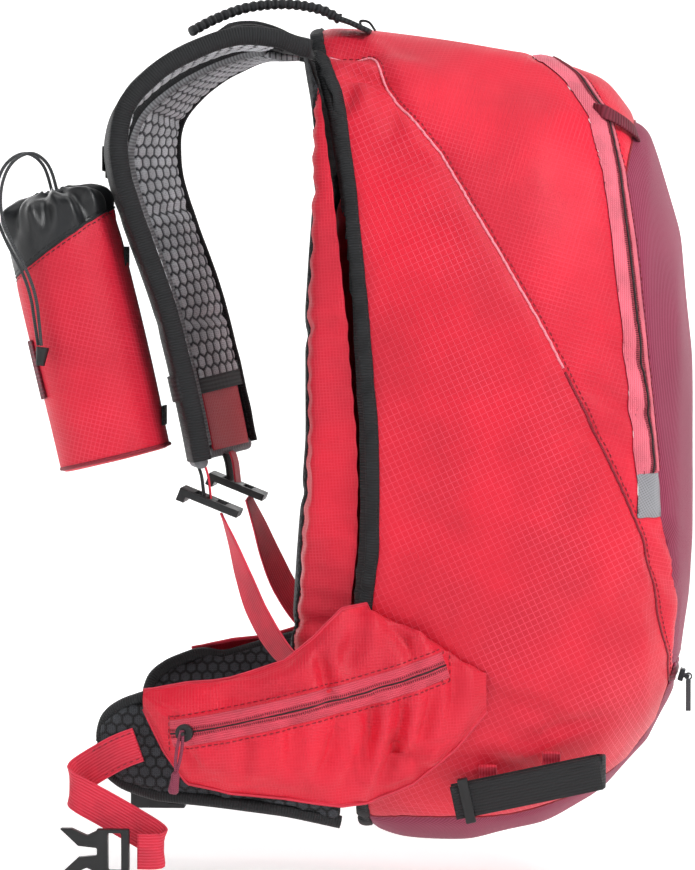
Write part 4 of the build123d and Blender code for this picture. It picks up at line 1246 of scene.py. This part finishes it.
def build_strap(side):
    """A padded strap: black outer cloth, hexagon mesh inside, bound edges and a rolled inner edge."""
    sign = SIDES[side]
    line, across = on_side(STRAP_LINE, side), strap_across(side, len(STRAP_LINE))
    body = f"strap_{side}"

    def pads(shape, run, centre):
        """The outer cloth sinks along the quilting and waves a little at its edges."""
        moved = np.zeros_like(shape)
        dent = sum(bell(centre[:, 2] / MM - height, 5) for height in QUILTING)
        outside = np.where(shape[:, :, 1] * sign < 0, 1.0, 0.0)
        moved[:, :, 1] = (dent[:, None] * 0.9 * MM * sign) * outside * (1 - (shape[:, :, 0] / (31 * MM)) ** 4)
        edge = 0.5 * MM * ripple(centre, 45, 21)
        moved[:, :, 0] = edge[:, None] * np.sign(shape[:, :, 0]) * (np.abs(shape[:, :, 0]) > 26 * MM)
        return moved

    def cells(shape, run, centre):
        """The mesh swells in each hexagon and is pressed flat under the quilting."""
        moved = np.zeros_like(shape)
        uv = np.stack([shape[:, :, 0], np.repeat(run[:, None], shape.shape[1], axis=1)], axis=2)
        swollen = 1.3 * MM * (1 - hexagon(uv, HEX_CELL) ** 3)
        dent = sum(bell(centre[:, 2] / MM - height, 3.2) for height in QUILTING)[:, None]
        crown = 1.2 * MM * (1 - (shape[:, :, 0] / (27 * MM)) ** 2)
        inner = shape[:, :, 1] > 1.0 * MM
        moved[:, :, 1] = np.where(inner, (swollen + crown) * (1 - np.clip(dent, 0, 1)) - 0.8 * MM * dent, 0)
        moved[:, :, 0] = np.where(inner, 0.4 * MM * ripple(centre, 50, 25)[:, None], 0)
        return moved

    section = superellipse(STRAP_WIDTH, STRAP_THICK - 0.6, 40, 5)
    cloth = band(f"strap_cloth_{side}", line, 0, 0, "strap_cloth", body, [f"shoulder_strap_{side}"],
                 across, 2.2, section, pads)
    inner = STRAP_THICK / 2 + STRAP_MESH / 2 - 0.4
    columns = np.array(strap_face_section(STRAP_WIDTH - 13, STRAP_MESH, 44)) * (1, sign)
    if sign < 0:
        columns = columns[::-1]
    # The lining's pads are coloured near white, painted light on the grey mesh.
    lining = band(f"strap_lining_{side}", line[1:-2], 0, 0, "hex_mesh_painted_light", body, [f"strap_mesh_{side}"],
                  across[1:-2], 1.3, columns,
                  lambda shape, run, middle: cells(shape * (1, sign), run, middle) * (1, sign), inner * sign)
    band(f"strap_patch_{side}", line[-4:], 0, 0, "ripstop_pocket", body, (), across[-4:], 1.5,
         superellipse(STRAP_WIDTH - 16, 1.6, 30, 6), None, (inner - 0.2) * sign)
    edges = smooth_line(np.hstack([np.array(line) * MM, np.array(across)]), 2.0 * MM)
    centre, (along, wide, out) = edges[:, :3], frames(edges[:, :3], edges[:, 3:6])
    for end, label in ((1, "outer"), (-1, "inner")):
        radius, rise = (5.6, 2.2) if end > 0 else (3.4, 1.0)
        path = centre + wide * end * (STRAP_WIDTH / 2 - 1.2) * MM + out * sign * rise * MM
        path += out * (0.4 * MM * ripple(path, 70, 31 + end))[:, None]
        tube_piece(f"strap_binding_{label}_{side}", path, radius * MM, "binding", body, normals=wide,
                   flat=0.55, sides=14)
        seam = centre + wide * end * (STRAP_WIDTH / 2 - 4.6) * MM + out * sign * (STRAP_THICK / 2 + 1.4) * MM
        stitches(f"strap_stitching_{label}_{side}", [(seam, out * sign)], "black_thread", body)
    part = slice(8, -2)
    roll = centre[part] - wide[part] * (STRAP_WIDTH / 2 - 3.2) * MM
    roll = roll + out[part] * sign * (STRAP_THICK / 2 + 0.6) * MM
    tube_piece(f"strap_rolled_edge_{side}", roll, 2.6 * MM, "rolled_edge", body, normals=out[part], sides=12)
    last = centre[-1] + along[-1] * 0.5 * MM
    width = np.linspace(-STRAP_WIDTH / 2 + 5, STRAP_WIDTH / 2 - 5, 24)[:, None] * MM
    tube_piece(f"strap_foot_roll_{side}", last + wide[-1] * width + out[-1] * sign * 1.5 * MM, 4.2 * MM,
               "rolled_edge", body, sides=14)
    at = int(np.argmin(np.abs(centre[:, 2] - KEEPER_HEIGHT * MM)))
    ring = superellipse(STRAP_WIDTH + 1.4, STRAP_THICK + 4.6, 40, 5) * MM
    loops = [centre[at] + along[at] * t * MM + wide[at] * ring[:, :1] * s
             + out[at] * (ring[:, 1:] * s + sign * 1.0 * MM)
             for t, s in ((-8, 0.985), (-7.6, 1.0), (7.6, 1.0), (8, 0.985))]
    verts, faces = loft(loops, caps=False)
    lengths = np.linspace(0, 2 * KEEPER_LENGTH, 40) * MM
    uv = np.stack(np.meshgrid(lengths, np.array([-8, -7.6, 7.6, 8]) * MM), axis=2)
    build(f"strap_keeper_{side}", verts, faces, "elastic", body, uv=uv.reshape(-1, 2))
    turn = (0.12, sign, 0)
    band(f"strap_end_webbing_{side}", on_side(STRAP_END, side), 20, 2.0, "black_webbing", body,
         [f"strap_end_{side}"], [turn] * len(STRAP_END), 1.5)
    band(f"strap_end_red_{side}", on_side([(x + 4, y, z) for x, y, z in STRAP_END[1:]], side), 16, 1.4,
         "red_webbing", body, (), [turn] * 4, 1.5)
    finish_node(f"ladder_lock_{side}", "plastic", 0.8)
    turns = [(math.sin(a), sign * math.cos(a), 0) for a in (0.1, 0.35, 0.6, 0.75, 0.8, 0.8)]
    lower = band(f"lower_strap_{side}", on_side(LOWER_LINE, side), 20, 1.7, "red_webbing", None, (),
                 turns, 2.0)
    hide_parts(f"lower_webbing_{side}")
    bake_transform(lower)


# ---------------------------------------------------------------- top: haul loop and ski strap

HAUL_ARCH = [(-2, 0, 243.5), (-14, 0, 250), (-28, 0, 254), (-41, 0, 253.5), (-48, 0, 250)]
SKI_ROUTE = [
    (-62, -74, 246), (-48, -66, 254), (-30, -58, 261), (-8, -50, 263.5), (12, -44, 261), (25, -41, 255),
]
RUCHE_PITCH = 4.6       # length of one gather of the ski strap, in millimetres


def build_top():
    """Haul loop of folded webbing, and the ruched ski strap sewn down under its ribbed tab."""
    for sign in (-1, 1):
        leg = [(x, sign * 16, z) for x, _, z in HAUL_ARCH]
        name = "haul_loop_left" if sign < 0 else "haul_loop_right"
        nodes = ["haul_loop"] if sign < 0 else []
        band(name, leg, 13, 2.2, "black_webbing", "root", nodes, [(0, 1, 0)] * len(leg), 1.5)
    across = [(0.82, 0, 0.57)] * 5
    bridge = [(-48.5, y, 249.8 + 1.2 * math.cos(y / 10)) for y in (-19, -10, 0, 10, 19)]
    band("haul_loop_grip", bridge, 11, 3.4, "black_webbing", "root", (), across, 1.5)

    def ruche(shape, run, centre):
        """Gathers of the cloth over the elastic."""
        wave = np.sin(run / MM * 2 * math.pi / RUCHE_PITCH + 1.5 * ripple(centre, 60, 41))[:, None]
        return shape * (0.16 * wave[..., None])

    ski = band("ski_strap_cloth", SKI_ROUTE, 0, 0, "elastic", None, (), [(0.2, -1, 0)] * len(SKI_ROUTE), 0.8,
               superellipse(9.5, 5.6, 24, 3), ruche)
    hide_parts("ski_strap")
    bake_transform(ski)
    low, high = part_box("ski_strap_tab")
    mid = (low + high) / 2 / MM
    tab = [(mid.x - 9, mid.y, mid.z + 3.6), (mid.x - 3, mid.y, mid.z + 1.6), (mid.x + 3, mid.y, mid.z - 1.2),
           (mid.x + 9.5, mid.y, mid.z - 4.2)]
    band("ski_strap_tab_webbing", tab, 20, 3.2, "elastic", "root", ["ski_strap_tab"], [(0, 1, 0)] * 4, 1.2)
    loop = [(mid.x + 4, mid.y + 8, mid.z - 2), (mid.x + 3, mid.y + 9, mid.z + 2.6),
            (mid.x + 8, mid.y + 9.4, mid.z + 2.2), (mid.x + 12, mid.y + 9, mid.z - 3)]
    band("ski_strap_tab_loop", loop, 5, 1.4, "black_webbing", "root", (), [(0, 1, 0)] * 4, 1.0)


# ---------------------------------------------------------------- bottle holder

HOLDER_FOOT = (-106.5, -85.0, -12.0)
HOLDER_TILT = 13.3
# Height and radius of the pouch from its foot to the inside of its mouth.
POUCH = [
    (1.0, 4), (0.6, 16), (0.3, 26), (0.6, 31), (2.2, 33.2), (5, 33.6), (20, 33.8), (45, 34.2), (80, 34.2),
    (115, 34.0), (138, 33.8), (150, 33.4), (157, 31.8), (161.5, 28), (164.0, 22), (164.6, 16), (165.4, 11.4),
    (166.2, 9.2), (164.5, 8.2), (160, 7.8), (152, 8.6),
]
LABEL_ANGLE = 3.5       # where the holder's plain label sits, in radians round its axis


def build_holder():
    """The soft bottle holder: ripstop pouch, black collar with a slanted seam, gathered at the mouth."""
    profile = flat_line(POUCH)
    tilt = math.radians(HOLDER_TILT)
    axis = np.array([-math.sin(tilt), 0, math.cos(tilt)])
    level = np.array([math.cos(tilt), 0, math.sin(tilt)])
    foot = np.array(HOLDER_FOOT) * MM
    sideways_on = np.array([0, 1, 0])
    angle = np.radians(np.arange(0, 360, 3.0))
    circle = level * np.cos(angle)[:, None] + sideways_on * np.sin(angle)[:, None]
    rows = []
    for height, radius, _ in profile:
        gather = np.clip((height / MM - 140) / 24, 0, 1)
        fold = 0.13 * gather * (np.sin(9 * angle + 0.6) + 0.5 * np.sin(17 * angle + 2.0))
        swell_out = 0.012 * np.sin(3 * angle + height * 18) * np.clip(height / MM / 30, 0, 1)
        r = radius * (1 + fold + swell_out)
        lift = height + gather * 1.6 * MM * np.sin(9 * angle + 2.2)
        rows.append(foot + axis * lift[:, None] + r[:, None] * circle)
    verts, faces = loft(rows)
    verts = swell(verts, faces, 2.5, 1.6 * MM)
    skin = Skin(verts, faces, {"pouch": ["bottle_holder"], "collar": ["holder_collar"]})
    seam = skin.seam_distance()
    height = (skin.verts - foot) @ axis
    wrinkle = 0.9 * MM * ripple(skin.verts, (26, 26, 9), 51) * np.clip((150 * MM - height) / (20 * MM), 0, 1)
    crumple = 1.3 * MM * ripple(skin.verts, (60, 60, 30), 53, 1)
    crumple = crumple * np.clip((height - 105 * MM) / (30 * MM), 0, 1)
    pinch = -0.9 * MM * bell(seam, 3 * MM)
    fade = np.clip((170 * MM - height) / (8 * MM), 0.3, 1)
    skin.push((wrinkle + crumple) * fade + pinch)
    body = "strap_left"
    skin.piece("holder_pouch", "pouch", "ripstop_holder", body, ["bottle_holder"])
    skin.piece("holder_collar_cloth", "collar", "collar", body, ["holder_collar"])
    chain = longest(skin.chains(("pouch", "collar")))
    skin.cord("holder_seam", chain, 0.8, "black_thread", body, sides=8)
    rows = [skin.beside(chain, side * 2.4 * MM, 0.2 * MM) for side in (-1, 1)]
    stitches("holder_stitching", rows, "black_thread", body)
    rim = foot + axis * 2.6 * MM + 33.4 * MM * circle
    tube_piece("holder_foot_piping", rim, 1.2 * MM, "thread", body, closed=True, sides=8)
    drawn = foot + axis * 165.2 * MM + 9.6 * MM * circle
    tube_piece("holder_mouth_cord", drawn, 1.1 * MM, "cord", body, closed=True, sides=8)
    outward = level * math.cos(LABEL_ANGLE) + sideways_on * math.sin(LABEL_ANGLE)
    label = [foot + axis * height * MM + 34.9 * MM * outward for height in (46, 58, 70, 82)]
    band("holder_label", np.array(label) / MM, 11, 1.2, "burgundy_webbing", body, (),
         [(math.sin(LABEL_ANGLE), -math.cos(LABEL_ANGLE), 0)] * 4, 2.0)
    for t in (20, 118):
        lug = foot + axis * t * MM
        ends = [(lug + level * 30 * MM + np.array([0, y, 0]) * MM) / MM for y in (-9, 0, 9)]
        band(f"holder_tack_{t}", [tuple(p + level * 4.5) for p in ends], 12, 1.2, "black_webbing", body)


# ---------------------------------------------------------------- chest strap


def build_chest():
    """Two thin webbing halves and the small buckle between them."""
    for side in SIDES:
        low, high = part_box(f"chest_strap_{side}")
        x, z = (low.x + high.x) / 2 / MM, (low.z + high.z) / 2 / MM
        sags = [math.sin(math.pi * k / 4) for k in range(5)]
        line = [(x + 1.2 * sag, y, z - 0.8 * sag) for sag, y in zip(sags, np.linspace(low.y, high.y, 5) / MM)]
        band(f"chest_webbing_{side}", line, 15, 1.4, "black_webbing", f"strap_{side}",
             [f"chest_strap_{side}"], [(0, 0, 1)] * 5, 2.0)
    finish_node("chest_buckle_socket", "plastic", 0.6)
    finish_node("chest_buckle_plug", "plastic", 0.5)


# ---------------------------------------------------------------- hip belt

HIP_LINE = [
    (-88, -134.5, -178), (-100, -131, -183), (-114, -127.5, -191), (-123, -127, -197), (-127.5, -131, -201),
    (-127, -137, -204), (-121, -140.5, -208), (-106, -141.5, -216), (-90, -142, -225), (-78, -143, -232),
    (-72.5, -146, -236), (-72.5, -151, -238.5), (-77, -153.5, -239), (-86.2, -153.5, -239),
]
# The pocket zip's middle line in the side view, as (distance from the wearer's back, height), millimetres.
POCKET_ZIP = [(-66, -169.5), (-36, -164), (-4, -157), (40, -146.5), (70, -138), (94, -129.5)]
# Folds of the hip pocket, by their ends (distance from the back, height), width and depth, in millimetres.
POCKET_FOLDS = [
    (60, -100, 78, -132, 5.0, -3.0), (44, -96, 34, -134, 5.0, -2.6), (20, -122, 26, -150, 4.0, -2.4),
    (34, -158, 20, -196, 4.5, -2.8), (52, -150, 36, -205, 5.0, -3.4), (70, -146, 52, -208, 5.0, -3.6),
    (88, -142, 66, -200, 5.0, -3.2), (100, -126, 92, -176, 4.5, -2.6), (6, -160, 2, -196, 5.0, -1.8),
    (-22, -166, -26, -198, 5.0, -1.5), (-40, -150, -20, -146, 4.0, -1.2), (-60, -176, -50, -196, 4.0, -1.6),
    (84, -112, 104, -128, 4.0, -2.0), (60, -176, 84, -196, 5.0, -1.8),
]
# The zip tape's section: distance from its middle line and height over the cloth, in millimetres.
TAPE_SECTION = [(-8, 0.0), (-7.6, 0.7), (-4, 0.9), (-1.6, 1.0), (1.6, 1.0), (4, 0.9), (7.6, 0.7), (8, 0.0)]


def hip_span(tree, x, y):
    """Lowest and highest point of the pocket at a distance x, near the wing's outer face."""
    up = tree.ray_cast(Vector((x, y, -0.4)), Vector((0, 0, 1)))[0]
    down = tree.ray_cast(Vector((x, y, 0.1)), Vector((0, 0, -1)))[0]
    return (up.z, down.z) if up and down else None


def pocket_grid():
    """The left pocket's outer surface, from its front end to its rear end on the bag."""
    wing = tree_of(["hip_wing_left"])
    tree = tree_of(["hip_pocket_left", "pocket_zip_left", "hip_pocket_rear_left"])
    front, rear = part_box("hip_pocket_left")[0].x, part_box("hip_pocket_rear_left")[1].x
    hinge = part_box("hip_pocket_left")[1].x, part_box("hip_pocket_rear_left")[0].x
    rows = []
    for x in np.linspace(front + 0.5 * MM, rear - 1 * MM, 104):
        if hinge[0] - 0.5 * MM < x < hinge[1] + 0.5 * MM:
            continue
        hit = wing.ray_cast(Vector((x, 0, -0.17)), Vector((0, -1, 0)))[0]
        base = hit.y - 8.6 * MM if hit else -0.1215
        span = hip_span(tree, x, base)
        if span is None:
            continue
        centre = Vector((x, base, (span[0] + span[1]) / 2))
        half = (span[1] - span[0]) / 2
        row = []
        for angle in np.radians(np.linspace(-88, 88, 62)):
            ray = Vector((0, -math.cos(angle), math.sin(angle)))
            found = tree.ray_cast(centre + ray * 0.15, -ray, 0.15)[0]
            row.append(found if found else centre + ray * half)
        rows.append(row)
    return np.array(rows)


def pocket_skin():
    """The pocket's cloth, filled out and creased."""
    rows = pocket_grid()
    verts, faces = loft(rows, wrap=False)
    rim = grid_rim(len(verts), rows.shape[1])
    verts = relax(verts, faces, 8, rim)
    verts = swell(verts, faces, 4.0, 4 * MM, rim)
    normals = vertex_normals(verts, faces)
    if normals[:, 1].mean() > 0:
        faces = [f[::-1] for f in faces]
        normals = -normals
    folds = 2.3 * creases(verts, -normals[:, 1] * 2, POCKET_FOLDS)
    broad = 1.1 * MM * ripple(verts, (22, 22, 16), 61) + 0.4 * MM * ripple(verts, 60, 63)
    edge = np.ones(len(verts))
    edge[rim] = 0
    edge = relax(np.repeat(edge[:, None], 3, axis=1), faces, 3)[:, 0]
    verts = verts + normals * ((folds + broad) * edge)[:, None]
    return verts, faces, rows


def sideways(tree, points_xz, lift):
    """Points of a surface found by looking along +Y at (distance, height) pairs, and the normals there."""
    places, normals = [], []
    for x, z in points_xz:
        place, normal, _, _ = tree.ray_cast(Vector((x, -0.4, z)), Vector((0, 1, 0)))
        if place:
            places.append(place)
            normals.append(normal if normal.y < 0 else -normal)
    places, normals = np.array(places), np.array(normals)
    for _ in range(3):
        normals[1:-1] = unit(normals[:-2] + normals[1:-1] + normals[2:])
    return places + normals * lift, normals


def parallel(line, offset):
    """A line moved sideways by offset, in the side view."""
    along = unit(np.gradient(line, axis=0))
    return line + np.stack([-along[:, 1], along[:, 0]], axis=1) * offset


def both_sides(name, verts, faces, finish, nodes=(), body=None, blend=False, uv=None):
    """A piece for the left, and its mirror image for the right."""
    for side in SIDES:
        shape, turned = (verts, faces) if side == "left" else mirrored(verts, faces)
        piece = build(f"{name}_{side}", shape, turned, finish, f"{body}_{side}" if body else None,
                      [f"{n}_{side}" for n in nodes], uv)
        if blend:
            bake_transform(piece)


def build_pocket():
    """The hip fin: pocket cloth from the bag to the wing's tip, its zip, sewing and end box."""
    verts, faces, rows = pocket_skin()
    both_sides("hip_pocket_cloth", verts, faces, "ripstop_pocket", ["hip_pocket", "hip_pocket_rear"],
               blend=True)
    tree = BVHTree.FromPolygons([Vector(v) for v in verts], faces)
    line = flat_line(POCKET_ZIP)[:, :2]
    columns = [sideways(tree, parallel(line, offset * MM), lift * MM)[0] for offset, lift in TAPE_SECTION]
    size = min(len(c) for c in columns)
    tape = np.stack([c[:size] for c in columns], axis=1)
    tape_verts, tape_faces = loft(tape, wrap=False)
    offsets = np.array([offset for offset, _ in TAPE_SECTION]) * MM
    uv = np.stack(np.meshgrid(offsets, distance_along(tape[:, 3])), axis=2).reshape(-1, 2)
    if vertex_normals(tape_verts, tape_faces)[:, 1].mean() > 0:
        tape_faces = [f[::-1] for f in tape_faces]
    both_sides("pocket_zip_tape", tape_verts, tape_faces, "red_tape", ["pocket_zip"], blend=True, uv=uv)
    centre, out = sideways(tree, line, 1.0 * MM)
    slit = loft(tube(centre, 0.55 * MM, 6, normals=out, flat=0.8))
    both_sides("pocket_zip_slit", *slit, "slit", blend=True)
    teeth = [sideways(tree, parallel(line, s * 1.9 * MM), 1.0 * MM) for s in (-1, 1)]
    both_sides("pocket_zip_coil", *stitch_rows(teeth, 1.9 * MM, 1.3 * MM, 0.38 * MM, True), "coil",
               blend=True)
    sewn = [sideways(tree, parallel(line, s * 9.8 * MM), 0.2 * MM) for s in (-1, 1)]
    for at in (line[0], line[-1]):
        for step in (-1.5, 2.5):
            end = np.array([[at[0] + step * MM, at[1] + t * MM] for t in np.linspace(-11, 11, 12)])
            sewn.append(sideways(tree, end, 0.5 * MM))
    both_sides("pocket_stitching", *stitch_rows(sewn), "thread", blend=True)
    radius, sides = 1.2 * MM, 10
    for label, column in (("lower", 0), ("upper", -1)):
        row = rims(verts, rows, column)
        both_sides(f"pocket_edge_{label}", *loft(tube(row, radius, sides)), "red_webbing", blend=True,
                   uv=tube_uv(row, radius, sides))
    for side in SIDES:
        finish_node(f"pocket_slider_{side}", "plastic", 0.5)
        build_pocket_pull(side)


def rims(verts, rows, column):
    """One long edge of the pocket's grid."""
    count = rows.shape[1]
    return np.asarray(verts)[np.arange(rows.shape[0]) * count + column % count]


def tube_uv(points, radius, sides):
    """A UV map round and along a tube."""
    turn = np.linspace(0, 2 * math.pi * radius, sides)
    return np.stack(np.meshgrid(turn, distance_along(points)), axis=2).reshape(-1, 2)


def build_pocket_pull(side):
    """A doubled cord looped through the round slider, ending in a tapered grip."""
    low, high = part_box(f"pocket_pull_{side}")
    body = f"pocket_pull_{side}"
    middle = (low + high) / 2
    top = np.array([middle.x + 1.6 * MM, middle.y, high.z - 1.5 * MM])
    foot = np.array([low.x + 3.2 * MM, middle.y, low.z + 12 * MM])
    t = np.linspace(0, 1, 14)[:, None]
    bow = np.sin(math.pi * np.clip(t * 0.9 + 0.1, 0, 1))
    strands = [top + (foot - top) * t + np.array([s, 0, 0]) * 1.5 * MM * bow for s in (-1, 1)]
    loop = np.vstack([strands[0][::-1], strands[1]])
    tube_piece(f"pocket_pull_cord_{side}", loop, 0.95 * MM, "berry_cord", body,
               [f"pocket_pull_{side}"], sides=8)
    along = (foot - top) / np.linalg.norm(foot - top)
    grip = foot + along * np.linspace(-2, 11, 12)[:, None] * MM
    taper = np.array([0.55, 0.8, 0.9, 0.86, 0.9, 0.95, 0.95, 1.0, 1.05, 1.1, 1.05, 0.7])
    tube_piece(f"pocket_pull_grip_{side}", grip, 2.9 * MM, "berry_cord", body, squeeze=taper, sides=14)


WING_TUCK = 7.5 * MM        # how far the wing's top edge is tucked down behind the pocket
TUCK_FROM, TUCK_OVER = -78 * MM, 14 * MM        # where the tuck starts, and over what distance


def tuck(x):
    """How far the wing's top edge is tucked down at a distance x."""
    return WING_TUCK * np.clip((x - TUCK_FROM) / TUCK_OVER, 0, 1)


def wing_edges(side):
    """Points along a wing's top and bottom edges, from the bag to the tip."""
    tree = tree_of([f"hip_wing_{side}"])
    low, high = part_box(f"hip_wing_{side}")
    path = {"low": [], "high": []}
    for x in np.linspace(high.x - 2 * MM, low.x + 1 * MM, 40):
        inner = tree.ray_cast(Vector((x, 0, -0.18)), Vector((0, SIDES[side], 0)))[0]
        y = inner.y + SIDES[side] * 4 * MM
        path["low"].append(tree.ray_cast(Vector((x, y, -0.4)), Vector((0, 0, 1)))[0])
        path["high"].append(tree.ray_cast(Vector((x, y, 0.1)), Vector((0, 0, -1)))[0])
    return path


def build_wing(side):
    """A foam wing faced with dark mesh, bound round its edge."""
    node = f"hip_wing_{side}"
    piece = bpy.data.objects.new(f"wing_source_{side}", NODES[node].data.copy())
    scene.collection.objects.link(piece)
    remesh = piece.modifiers.new("remesh", "REMESH")
    remesh.mode = "VOXEL"
    remesh.voxel_size = 3.2 * MM
    verts, faces = evaluated(piece)
    bpy.data.objects.remove(piece)
    verts = relax(verts, faces, 5)
    verts = swell(verts, faces, 3.0, 2 * MM)
    normals = vertex_normals(verts, faces)
    swollen = 0.9 * MM * (1 - hexagon(verts[:, [0, 2]], 7 * MM) ** 3) * (normals[:, 1] * -SIDES[side] > 0.5)
    verts = verts + normals * (swollen + 0.5 * MM * ripple(verts, 30, 71))[:, None]
    path = wing_edges(side)
    crest = np.array(path["high"])
    order = np.argsort(crest[:, 0])
    top = np.interp(verts[:, 0], crest[order, 0], crest[order, 2])
    verts[:, 2] = np.minimum(verts[:, 2], top - tuck(verts[:, 0]))
    made = build(f"wing_pad_{side}", verts, faces, "dark_mesh", f"wing_{side}", [node], verts[:, [0, 2]])
    for point in path["high"]:
        point.z -= tuck(point.x)
    loop = smooth_line(eased(np.array(path["high"] + path["low"][::-1]), 2), 2 * MM)
    loop = loop + np.array([0, 1, 0]) * (0.6 * MM * ripple(loop, 40, 73))[:, None]
    tube_piece(f"wing_binding_{side}", loop, 3.9 * MM, "binding", f"wing_{side}", sides=14,
               normals=np.tile([0.0, 0.0, 1.0], (len(loop), 1)), flat=1.0)


def build_hip():
    """Hip belt: wings, pockets, webbing sewn at the tips and the side-release buckle."""
    build_pocket()
    for side in SIDES:
        build_wing(side)
        sign = SIDES[side]
        line = [(x, -sign * y, z) for x, y, z in HIP_LINE]
        band(f"hip_webbing_strap_{side}", line, 21, 1.9, "red_webbing", f"wing_{side}",
             [f"hip_webbing_{side}"], None, 1.6)
        centre = resample(np.array(line[:3]) * MM, 2 * MM)
        wide = frames(centre)[1]
        face = np.tile([0.0, sign, 0.0], (len(centre), 1))
        rows = [(centre + wide * t * MM + face * 1.2 * MM, face) for t in (-8, 8)]
        stitches(f"hip_webbing_stitching_{side}", rows, "thread", f"wing_{side}")
    finish_node("hip_buckle_male", "plastic", 0.7)
    finish_node("hip_buckle_female", "plastic", 0.9)


# ---------------------------------------------------------------- loops and sliders on the bag

# The axe loop's ends in the side view, and how far out its two runs lie, in millimetres.
AXE_LOW, AXE_HIGH = (98, -214), (181, -196)
AXE_OUTER_Y, AXE_INNER_Y = -114.0, -101.0
KEEPER_PLACES = (118, 156)
GEAR_LOOP = [(180, 66, 199), (187, 70, 197), (198, 60, 191), (205, 50, 185), (205, 42, 181)]


def build_loops():
    """Axe loop folded back on itself, its glide and keepers, and the gear loops on the front."""
    (xa, za), (xb, zb) = AXE_LOW, AXE_HIGH
    wall = AXE_INNER_Y - AXE_OUTER_Y
    fold = [(xb + 6.4 * math.sin(a), AXE_OUTER_Y + wall * (1 - math.cos(a)) / 2, zb + 1.2 * math.sin(a))
            for a in np.radians((40, 90, 140))]
    xm, zm = (xa + xb) / 2, (za + zb) / 2
    route = [(xa, AXE_OUTER_Y, za), (xm, AXE_OUTER_Y - 0.6, zm), (xb, AXE_OUTER_Y, zb)] + fold
    route += [(xb, AXE_INNER_Y, zb), (xm, AXE_INNER_Y, zm), (xa, AXE_INNER_Y, za)]
    band("axe_loop_webbing", route, 20, 2.2, "black_webbing", "root", ["axe_loop"], None, 1.6)
    finish_node("axe_loop_glide", "plastic", 0.6)
    for i, x in enumerate(KEEPER_PLACES):
        z = za + (x - xa) * (zb - za) / (xb - xa)
        y = AXE_INNER_Y + 1.9
        tab = [(x, y, z - 8), (x, y, z + 4), (x, y + 0.6, z + 11), (x, y - 1.0, z + 14), (x, y - 4.0, z + 17)]
        band(f"axe_keeper_{i}", tab, 11, 1.6, "red_webbing", "root",
             ["axe_loop_keepers"] if i == 0 else [], [(1, 0, 0)] * 5, 1.5)
    for side in SIDES:
        line = [(x, SIDES[side] * y, z) for x, y, z in GEAR_LOOP]
        band(f"gear_loop_{side}", line, 8, 2.0, "burgundy_webbing", "root",
             ["gear_loops"] if side == "left" else [], [(-0.35, 0, 0.94)] * 5, 1.5)
    for node, finish in (("main_slider", "metal"), ("main_pull", "metal"), ("lower_slider", "metal"),
                         ("lower_pull", "grey_pull")):
        finish_node(node, finish, 0.3)


# ---------------------------------------------------------------- the whole pack

FINISHES = build_finishes()
build_camera()
build_studio()
build_cords()
bag = build_bag()
build_panels(bag)
build_zip(bag)
build_seams(bag)
build_binding(bag)
build_back()
for strap_side in SIDES:
    build_strap(strap_side)
build_top()
build_holder()
build_chest()
build_hip()
build_loops()
